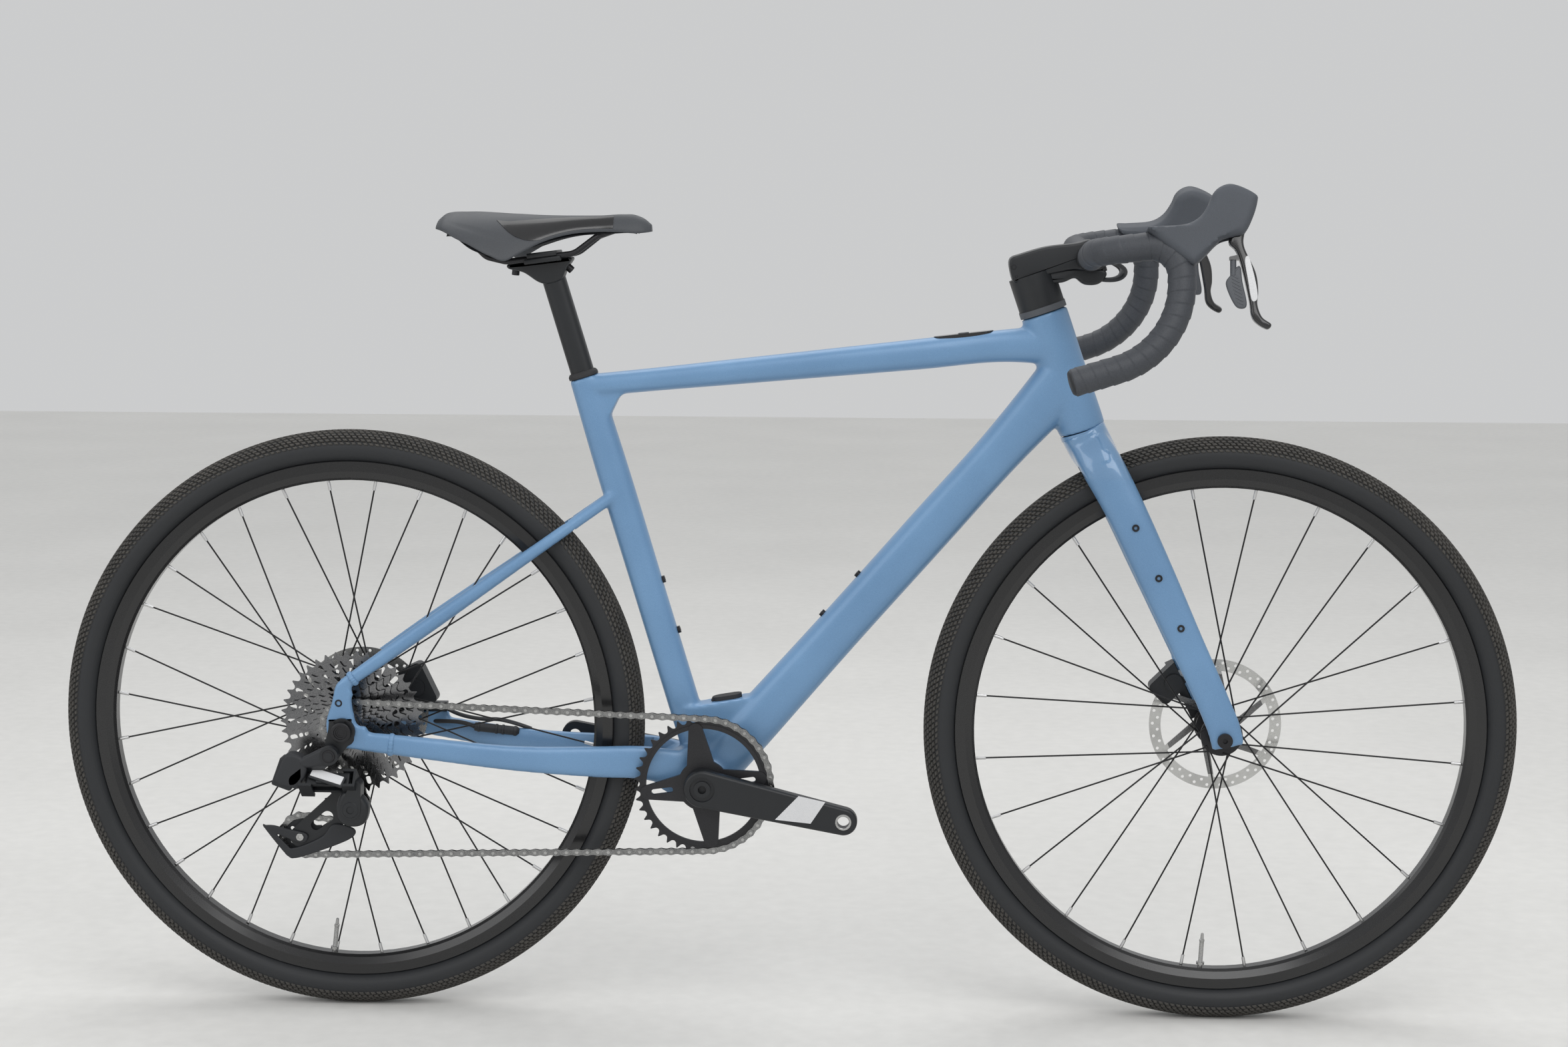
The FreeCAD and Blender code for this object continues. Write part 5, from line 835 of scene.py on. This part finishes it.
# Hoses, plug and collar
def hose(name, points, radius, material, body, nodes=()):
    """Round hose on one smooth spline with the route's points as its control points."""
    curve = bpy.data.curves.new(name, "CURVE")
    curve.dimensions = "3D"
    curve.bevel_depth, curve.bevel_resolution, curve.use_fill_caps = radius * MM, 5, True
    spline = curve.splines.new("NURBS")
    spline.points.add(len(points) - 1)
    places = np.column_stack([np.asarray(points, float) * MM, np.ones(len(points))])
    spline.points.foreach_set("co", places.ravel())
    spline.order_u = 3
    spline.use_endpoint_u = True
    spline.resolution_u = 14
    made = bpy.data.objects.new(name, curve)
    scene.collection.objects.link(made)
    dress(made, material, body, nodes)


def hoses():
    """Brake hoses at the stem, hose and motor cable on the left chain stay, and the cable's ribbed plug."""
    hose_radius, cable_radius = 2.5, 2.6
    route = bar_corners[0] + np.array([(9, -11, -25), (33, -14, -29), (46, -34, -14), (14.6, -63, 0.3),
                                       (13.8, -77.2, 1.0)])
    hose("right_bar_hose", route, hose_radius, moulded_black, "steering", ("bar_hoses",))
    hose("left_bar_hose", route * (1, -1, 1), hose_radius, moulded_black, "steering")
    stay_route = [(-430, 56, 364), (-414, 53, 353), (-378, 51, 345.5), (-349, 52, 347), (-316, 55, 334)]
    hose("rear_brake_hose", stay_route, hose_radius, moulded_black, "frame",
         ("chainstay_cables",))
    motor_route = [(-441, 66, 340), (-426, 51.5, 343), (-398, 48, 343), (-384, 48, 336.5)]
    hose("motor_cable", motor_route, cable_radius, soft_rubber, "frame")
    rings = [(0, 2.8), (0.6, 5.2), (4, 5.6), (4.4, 6.2), (7, 6.2), (7.4, 5.5), (26, 5.5), (26.4, 6.2),
             (29, 6.2), (29.4, 5.4), (34, 5.4), (34.4, 6.2), (37, 6.2), (37.4, 5.5), (49, 5.5), (49.4, 6.2),
             (52, 6.2), (54, 5.0), (56, 3.0)]
    plug = turned(rings, (-386, 47.8, 337.5), (58, 1.5, -6))
    dress(solid("motor_plug", [plug]), moulded_black, "frame")


def collar_ring():
    """Rubber ring on the seat tube: an oval lip that slopes in to the seatpost."""
    top = at_seat(508.0)
    u, v = oval_ring(2.6, 64)
    rows = [(0.0, 26.4, 28.4), (0.0, 33.0, 35.0), (1.0, 33.6, 35.6), (3.8, 33.6, 35.6), (5.0, 32.4, 34.4),
            (7.0, 29.4, 31.4), (7.2, 26.4, 28.4)]
    points = np.stack([top + seat_up * h + Y * (w / 2 * u)[:, None] + seat_front * (d / 2 * v)[:, None]
                       for h, w, d in rows])
    dress(solid("collar_ring", [grid(points, closed=True)]), soft_rubber, "frame",
          ("seatpost_collar",))


# Valves and bolts
def valves():
    """Valve stems that point from the rim to the axle, with a knurled lock nut and a cap."""
    profile = [(0, 3.0), (6, 3.0), (6.2, 5.0), (9, 5.0), (9.4, 3.0), (10, 2.8), (34, 2.8), (34.5, 3.2),
               (37, 3.2), (37.5, 2.2), (44, 1.8), (45, 0.8)]
    rim_bed = 297
    for wheel, centre, angle in (("front", front_axle, -93.0), ("rear", rear_axle, -96.0)):
        out = polar(angle)
        stem = turned(profile, centre + out * rim_bed, -out, 20)
        dress(solid(wheel + "_valve", [stem]), bright_steel, wheel + "_wheel")


def socket_bolt(place, axis, radius, height):
    """Cap bolt: a chamfered head with a round well in it."""
    profile = [(-2, radius), (height - 0.6, radius), (height, radius - 0.6), (height, radius * 0.62),
               (height - 1.6, radius * 0.55), (height - 1.8, 0.2)]
    return turned(profile, place, axis, 24)


def small_bolts():
    """Cap bolts of the stem: two on its flank and four round the bar clamp."""
    spots = []
    for x, z, radius in ((269.2, 909.4, 3.4), (272.5, 898.2, 2.0)):
        spots.append(socket_bolt(np.array([x, -21.2, z]), -Y, radius, 0.6))
    face = unit(np.array([0.96, 0, 0.28]))
    for y in (-15, 15):
        for z in (-13, 13):
            spots.append(socket_bolt(bar_corners[0] + (17.5, y, z), face, 3.2, 3.0))
    dress(solid("stem_bolts", spots), dark_metal, "steering")


def stem_skin():
    """Flat-sided stem: a wedge from the steerer to the bar, with the narrower hose cover hung under it."""
    wedge = [(264.6, 909), (264.6, 917), (268, 921.3), (275.5, 924), (306.7, 933.2), (343, 938), (358, 942),
             (371, 937.5), (378.5, 927), (379, 916), (372, 907), (352, 906), (339, 907), (316, 902.5),
             (294, 897), (273, 891.5), (268.4, 894)]
    hung = [(271.5, 891.8), (290, 897.5), (313, 905), (341, 908), (360, 909), (375, 907), (378.5, 900),
            (369, 890), (353, 889.2), (341, 896.5), (325, 891.2), (290, 889.6)]
    upper = pebble(wedge, -21.5, 21.5, 3.0, 200)
    lower = pebble(hung, -17.5, 17.5, 3.5, 140)
    foot = turned([(181.2, 27.2), (181.4, 27.5), (195, 27.5), (195.2, 27.2)], head_low, head_up, 64)
    dress(solid("stem_skin", [upper, lower, foot]), satin_black, "steering", ("stem",))
    ring = turned([(147.4, 28.0), (147.8, 28.4), (154.6, 28.4), (155.0, 28.0)], head_low, head_up, 64)
    dress(solid("headset_cover", [ring]), moulded_grey, "steering")


def seatpost_skin():
    """Straight oval post that flares back into the head under the rails, with the clamp and its two bolts."""
    post = tube([station(at_seat(t), 26.0, 28.0) for t in (388.2, 470, 550, 634)], power=2.8, around=64,
                side=Y)
    head = pebble([(-330, 909.6), (-330, 904), (-312, 899.5), (-294.5, 888.5), (-281, 886), (-267, 891.5),
                   (-261, 905), (-255, 918), (-288, 914.4), (-312, 911.4)], -15, 15, 4.5, 140)
    along = unit(np.array([64.0, 0, 8.0]))
    down = np.array([along[2], 0, -along[0]])
    middle = np.array([-288.0, 0, 918.0])
    clamp = [beam(middle + down * rise, along, Y, length, 57, 6) for rise, length in ((3.2, 44), (-3.4, 36))]
    dress(softened(solid("seatpost_clamp", clamp), 1.4), satin_black, "seat")
    dress(solid("seatpost_skin", [post, head]), satin_black, "seat", ("seatpost",))
    bolts = [socket_bolt(np.array([x, 0, z]), way, 4.6, 9.0) for x, z, way in (
        (-322.5, 905, (-0.1, 0, -1)), (-262, 908, (0.75, 0, -0.66)))]
    dress(solid("clamp_bolts", bolts), dark_metal, "seat")


def weld_bead(place, along, width, depth):
    """Rippled ring on an oval tube: a small circle carried round the section, its radius in ripples."""
    along = unit(np.asarray(along, float))
    side = unit(np.cross(Z, along))
    up = np.cross(along, side)
    turn = np.linspace(0, 2 * np.pi, 120, endpoint=False)
    out = np.cos(turn)[:, None] * side * width / 2 + np.sin(turn)[:, None] * up * depth / 2
    bead_height, ripple, ripples = 2.0, 0.55, 9
    bead = bead_height + ripple * np.abs(np.sin(turn * ripples))
    around = np.linspace(0, 2 * np.pi, 12, endpoint=False)
    swell = (unit(out)[:, None] * np.cos(around)[None, :, None] * 0.7
             + along * np.sin(around)[None, :, None] * 1.3)
    return grid(place + out[:, None] + swell * bead[:, None, None], closed=True)


def welds():
    """Beads where the stays meet the dropouts."""
    low_way = stay_point(0.9, 72.6, -8.6) - stay_point(0.84, 69.9, -7.9)
    low = weld_bead(stay_point(0.867, 71.3, -8.3), low_way, 12.4, 24.4)
    high_way = seat_stay_point(1.0, 74.5) - seat_stay_point(0.93, 71.6)
    high = weld_bead(seat_stay_point(0.965, 73.2), high_way, 11.6, 15.6)
    dress(solid("stay_welds", both(low) + both(high)), satin_blue, "frame")


def dropout_details():
    """Black hanger plate behind the axle, its fixing bolt and the axle's socket head on the right dropout."""
    plate = pebble([(-540, 366), (-538, 368.5), (-515, 369.6), (-512.5, 367), (-510.5, 343), (-527, 335.5),
                    (-540, 346)], -80.2, -77, 1.2, 96)
    dress(solid("hanger_plate", [plate]), satin_black, "frame")
    nut = turned([(0, 11.5), (0.4, 12.0), (2.6, 12.0), (3.2, 11.0), (3.2, 8.2), (2.0, 7.8), (2.0, 6.0),
                  (0.4, 5.6), (0.2, 0.3)], rear_axle + (0, -87, 0), -Y, 64)
    dress(solid("axle_cap", [nut]), dark_metal, "frame")
    bolt = socket_bolt(np.array([-528.0, -78.6, 389.0]), -Y, 4.4, 1.6)
    dress(solid("dropout_bolt", [bolt]), dark_metal, "frame")


pedal_eye = crank_axis + 172.5 * polar(-12.4)


def crank_details():
    """Bare pale panel on the crank arm and the bright thread insert in its pedal eye."""
    panel = slab([(21.1, 283.3), (52.9, 276.3), (35.6, 250.1), (-6.8, 254.3)], -76.35, -75.5)
    dress(solid("crank_panel", [panel]), panel_silver, "crankset")
    u = np.linspace(0, 2 * np.pi, 48, endpoint=False)
    ring = np.stack([np.cos(u), np.zeros_like(u), np.sin(u)], -1)
    section = ((7.2, -64), (7.2, -76), (7.8, -76.5), (9.4, -76.5), (9.8, -76), (9.8, -74))
    rows = np.stack([pedal_eye + ring * r + Y * y for r, y in section])
    dress(solid("pedal_insert", [grid(rows, closed=True)]), bright_steel, "crankset")


# Derailleur
cage_pivot = np.array([-513.2, 262.0])


def with_cage(outline):
    """Cage outline turned and grown about the cage pivot, on to the tension pulley's place."""
    turn, grow = math.radians(-6.9), 1.05
    spin = np.array([[math.cos(turn), -math.sin(turn)], [math.sin(turn), math.cos(turn)]])
    return (np.asarray(outline, float) - cage_pivot) @ spin.T * grow + cage_pivot


def derailleur_shells():
    """Moulded housings of the derailleur: rounded plates, each riding on the part that it covers."""
    battery = pebble([(-589, 329), (-570, 325.5), (-564.5, 314), (-569.5, 297), (-582, 288.5), (-603, 295),
                      (-600, 310)], -96, -72.5, 4)
    shoulder = pebble([(-536, 340), (-528, 334), (-528.5, 325), (-536, 321), (-556, 314), (-570, 314),
                       (-574, 322), (-560, 330), (-546, 337)], -96.5, -84, 3.5)
    dress(solid("derailleur_battery", [battery, shoulder]), moulded_black, "frame")
    cap = turned([(0, 4.0), (0.2, 7.6), (1.2, 7.8), (2.4, 7.0), (2.4, 4.0), (0.8, 3.4), (0.7, 0.4)],
                 (-537.2, -96, 328), -Y, 36)
    dress(solid("hanger_bolt_cap", [cap]), dark_metal, "frame")
    out = np.array([0, -0.766, 0.643])
    along_link = np.array([0, 0.643, 0.766])
    middle = np.array([-540.2, -82.0, 293.0])
    slant = math.radians(18)
    run = np.array([math.cos(slant), 0, 0]) - along_link * math.sin(slant)
    cross = np.array([math.sin(slant), 0, 0]) + along_link * math.cos(slant)
    cover = beam(middle + out * 13.0, run, cross, 44, 15, 4)
    plate = beam(middle + out * 15.2 + along_link * 0.6, run, cross, 40, 11, 1.0)
    for name, shell, width, material, slot in (("link_cover", cover, 1.6, moulded_black, "black_plastic"),
                                               ("link_plate", plate, 0.4, panel_silver, "silver")):
        dress(softened(solid(name, [shell]), width), material, "derailleur_outer_link_body")
    knuckle = pebble([(-521, 284), (-504, 281), (-494.5, 270.5), (-492, 261), (-496, 247), (-506, 240.8),
                      (-520, 242), (-530, 251), (-530, 270)], -91, -71, 6, 96)
    hub = turned([(0, 4.0), (0.2, 9.5), (1.2, 9.8), (2.0, 9.0), (2.2, 4.6), (0.9, 4.2), (0.8, 0.4)],
                 (cage_pivot[0], -90.8, cage_pivot[1]), -Y, 48)
    dress(solid("knuckle_housing", [knuckle, hub]), satin_black, "derailleur_p_knuckle_body")
    arms = [pebble(with_cage(o), -61.0, -57.0, 1.2, 72) for o in (
        [(-617, 222), (-606, 224.5), (-590, 222.5), (-567, 220), (-565, 212), (-573, 208), (-596, 214),
         (-608, 216)],
        [(-617, 222), (-609, 220), (-582, 199), (-578, 189), (-588, 193)],
        [(-590, 197), (-580, 189), (-560, 196), (-516, 220), (-512, 233), (-536, 235), (-548, 219),
         (-572, 204)])]
    pin = turned([(0, 3.0), (0.2, 4.6), (1.0, 4.6), (1.4, 4.2), (1.4, 2.4), (0.4, 2.2), (0.3, 0.3)],
                 (-581.6, -61, 220.7), -Y, 30)
    dress(fused("cage_frame", arms, 0.9, 4), moulded_black, "derailleur_cage_body")
    dress(solid("pulley_bolt", [pin]), bright_steel, "derailleur_cage_body")


# Chain: the centre X + Z, teeth and sense of turn of chainring, tension pulley, guide pulley and cog
chain_circles = ((-94.03 + 289.0j, 40, -1), (-581.616 + 220.717j, 12, -1), (-526.199 + 261.826j, 12, 1),
                 (-524.2 + 355.0j, 15, -1))
chain_links = 118
chain_plane = -49.0
pitch = 12.7


def chain_pins():
    """Pin centres a pitch apart on the loop of arcs and tangents round all four wheels, as complex X + Z."""
    circles = [(c, pitch / (2 * math.sin(math.pi / teeth)), spin) for c, teeth, spin in chain_circles]
    runs = []
    for (ca, ra, sa), (cb, rb, sb) in zip(circles, circles[1:] + circles[:1]):
        lever = sb * rb - sa * ra
        length = math.sqrt(abs(cb - ca) ** 2 - lever ** 2)
        heading = (cb - ca) / complex(length, lever)
        runs.append((ca - sa * ra * 1j * heading, heading * length))
    fine = 0.02
    line = []
    for (centre, radius, spin), (begin, run), (leave, after) in zip(circles, runs[-1:] + runs[:-1], runs):
        entry = begin + run
        sweep = (spin * np.angle((leave - centre) / (entry - centre))) % (2 * np.pi)
        line.append(centre + (entry - centre) * np.exp(1j * spin * np.arange(0, sweep, fine / radius)))
        line.append(leave + after * np.arange(0, 1, fine / abs(after)))
    at = len(line[0]) // 2
    line = np.concatenate(line)
    pins = []
    for _ in range(chain_links):
        pins.append(line[at % len(line)])
        ahead = at + np.arange(int(pitch / fine) - 10, int(pitch / fine) + 60)
        at = ahead[np.argmax(np.abs(line[ahead % len(line)] - pins[-1]) >= pitch)]
    return np.array(pins)


def chain_skin():
    """Waisted inner and outer plates in turn, with rollers between them and a rivet head on each pin."""
    end_radius, waist, roller_radius, inner_face = 4.1, 1.1, 3.8, 1.1
    pins = chain_pins()
    heading = np.roll(pins, -1) - pins
    heading /= np.abs(heading)
    turn = np.linspace(0, np.pi, 22)
    x = pitch / 2 - (pitch / 2 + end_radius) * np.cos(turn)
    within = np.clip(x, 0, pitch)
    past = np.abs(x - within)
    half = (np.sqrt(np.maximum(end_radius ** 2 - past ** 2, 0))
            - waist * np.sin(np.pi * within / pitch) ** 2)
    outline = np.concatenate([x + 1j * half, (x - 1j * half)[-2:0:-1]])
    plates, rollers, rivets = [], [], []
    for index, (pin, way) in enumerate(zip(pins, heading)):
        place = pin + way * outline
        low, high = ((inner_face, 1.8), (1.88, 2.58))[index % 2]
        corners = np.stack([place.real, place.imag], -1)
        plates += [slab(corners, chain_plane + low, chain_plane + high),
                   slab(corners, chain_plane - high, chain_plane - low)]
        centre = np.array([pin.real, chain_plane, pin.imag])
        rollers.append(across_bike(roller_radius, centre, -inner_face, inner_face, 20))
        rivets.append(turned([(-2.9, 1.3), (-2.75, 1.9), (2.75, 1.9), (2.9, 1.3)], centre, Y, 16))
    dress(solid("chain_links", plates + rollers), chain_steel, "frame", ("chain",))
    dress(solid("chain_rivets", rivets), bright_steel, "frame")


# CAD nodes that keep their shape
kept = {
    satin_black: ("derailleur_hanger", "frame_bearings", "headset_spacers", "handlebar", "crank_arms",
                  "derailleur_body", "derailleur_p_knuckle", "derailleur_outer_link", "derailleur_inner_link",
                  "derailleur_cage", "front_brake_caliper", "rear_brake_caliper"),
    gloss_black: ("top_tube_controller",),
    moulded_grey: ("control_button",),
    moulded_black: ("saddle_shell", "guide_pulley", "tension_pulley", "battery_pack"),
    soft_rubber: ("charge_port_cover",),
    ring_black: ("chainring",),
    cog_steel: ("cassette",),
    dark_metal: ("motor_axle", "front_hub", "rear_hub", "saddle_rails", "bottle_bolts", "fork_fasteners",
                 "front_inner_pad", "front_outer_pad", "rear_inner_pad", "rear_outer_pad"),
}
for wheel, finishes in (("front", front_finish), ("rear", rear_finish)):
    for part in ("rim", "spokes", "rotor"):
        kept[finishes[part]] = (wheel + "_" + part,)
for material, names in kept.items():
    for name in names:
        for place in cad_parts[name].material_slots:
            place.material = material


# Stage, light and camera
def pale_floor():
    """Wide level sheet under the wheels."""
    reach = np.array([-9.0, 9.0])
    points = np.stack(np.meshgrid(reach, reach, indexing="ij"), -1).reshape(-1, 2)
    mesh = bpy.data.meshes.new("floor")
    mesh.from_pydata(np.column_stack([points, np.zeros(4)]), [], [(0, 2, 3, 1)])
    made = bpy.data.objects.new("floor", mesh)
    scene.collection.objects.link(made)
    mesh.materials.append(finish("pale_floor", (206, 205, 202), (214, 213, 210), (0.6, 0.7), broad=2.0,
                                 fine=40.0, bump=0.01))


def facing(right, up, away, place):
    """World matrix that sets an object at a place with its three axes."""
    rows = [(*row, p) for row, p in zip(np.stack([right, up, away], -1), place)]
    return Matrix(rows + [(0, 0, 0, 1)])


def area_light(name, place, aim, size, power):
    """Soft square lamp that faces a point."""
    lamp = bpy.data.lights.new(name, "AREA")
    lamp.shape, lamp.size, lamp.energy = "SQUARE", size, power
    made = bpy.data.objects.new(name, lamp)
    scene.collection.objects.link(made)
    away = unit(np.asarray(place, float) - np.asarray(aim, float))
    right = unit(np.cross(Y if abs(away[2]) > 0.9 else Z, away))
    made.matrix_world = facing(right, np.cross(away, right), away, place)


def studio():
    """Even pale surroundings, three soft lamps and the plain display transform."""
    world = bpy.data.worlds.new("pale_room")
    world.use_nodes = True
    tree = world.node_tree
    sky = tree.nodes["Background"]
    sky.inputs["Color"].default_value = (0.98, 0.99, 1.0, 1.0)
    height = add(tree, "SeparateXYZ", Vector=tree.nodes.new("ShaderNodeTexCoord").outputs["Generated"])
    level = add(tree, "MapRange", {"clamp": True}, Value=height.outputs["Z"], From_Min=-0.2, From_Max=0.9,
                To_Min=0.42, To_Max=0.95)
    tree.links.new(level.outputs["Result"], sky.inputs["Strength"])
    seen = add(tree, "Background", Color=(0.60, 0.605, 0.61, 1.0), Strength=1.0)
    ray = add(tree, "LightPath").outputs
    mirrored = add(tree, "Math", {"operation": "MAXIMUM"}, i0=ray["Is Glossy Ray"],
                   i1=ray["Is Transmission Ray"])
    shown = add(tree, "Math", {"operation": "MAXIMUM"}, i0=ray["Is Camera Ray"], i1=mirrored.outputs[0])
    choice = add(tree, "MixShader", i0=shown.outputs[0], i1=sky.outputs[0], i2=seen.outputs[0])
    tree.links.new(choice.outputs[0], tree.nodes["World Output"].inputs["Surface"])
    scene.world = world
    area_light("key", (1.0, -2.6, 3.0), (0.0, 0.0, 0.5), 2.4, 48)
    area_light("fill", (-2.4, -2.0, 1.8), (0.0, 0.0, 0.5), 2.0, 18)
    area_light("top", (0.0, 1.4, 3.2), (0.0, 0.0, 0.6), 2.4, 28)
    scene.view_settings.view_transform = "Standard"


def photo_camera():
    """Camera solved from the two wheels: yaw, then pitch down, then roll."""
    yaw, pitch, roll = 0.0445, 0.1209, 0.0044
    right = np.array([math.cos(yaw), math.sin(yaw), 0])
    ahead = np.array([-math.sin(yaw), math.cos(yaw), 0])
    look = math.cos(pitch) * ahead - math.sin(pitch) * Z
    up = math.sin(pitch) * ahead + math.cos(pitch) * Z
    right_rolled = math.cos(roll) * right + math.sin(roll) * up
    up_rolled = -math.sin(roll) * right + math.cos(roll) * up
    lens = bpy.data.cameras.new("camera")
    lens.sensor_width, lens.lens = 36.0, 60.69
    lens.clip_start, lens.clip_end = 0.05, 100.0
    made = bpy.data.objects.new("camera", lens)
    scene.collection.objects.link(made)
    place = (0.13945, -3.15381, 0.98392)
    made.matrix_world = facing(right_rolled, up_rolled, -look, place)
    scene.camera = made


photo_camera()
studio()
pale_floor()
frame_skin()
fork_skin()
tyre_skin("front_tyre", front_axle, "front_wheel", front_finish)
tyre_skin("rear_tyre", rear_axle, "rear_wheel", rear_finish)
bar_tape()
bar_ends()
hood_skins()
controls()
saddle_cover()
hoses()
collar_ring()
valves()
small_bolts()
stem_skin()
seatpost_skin()
welds()
dropout_details()
crank_details()
derailleur_shells()
chain_skin()
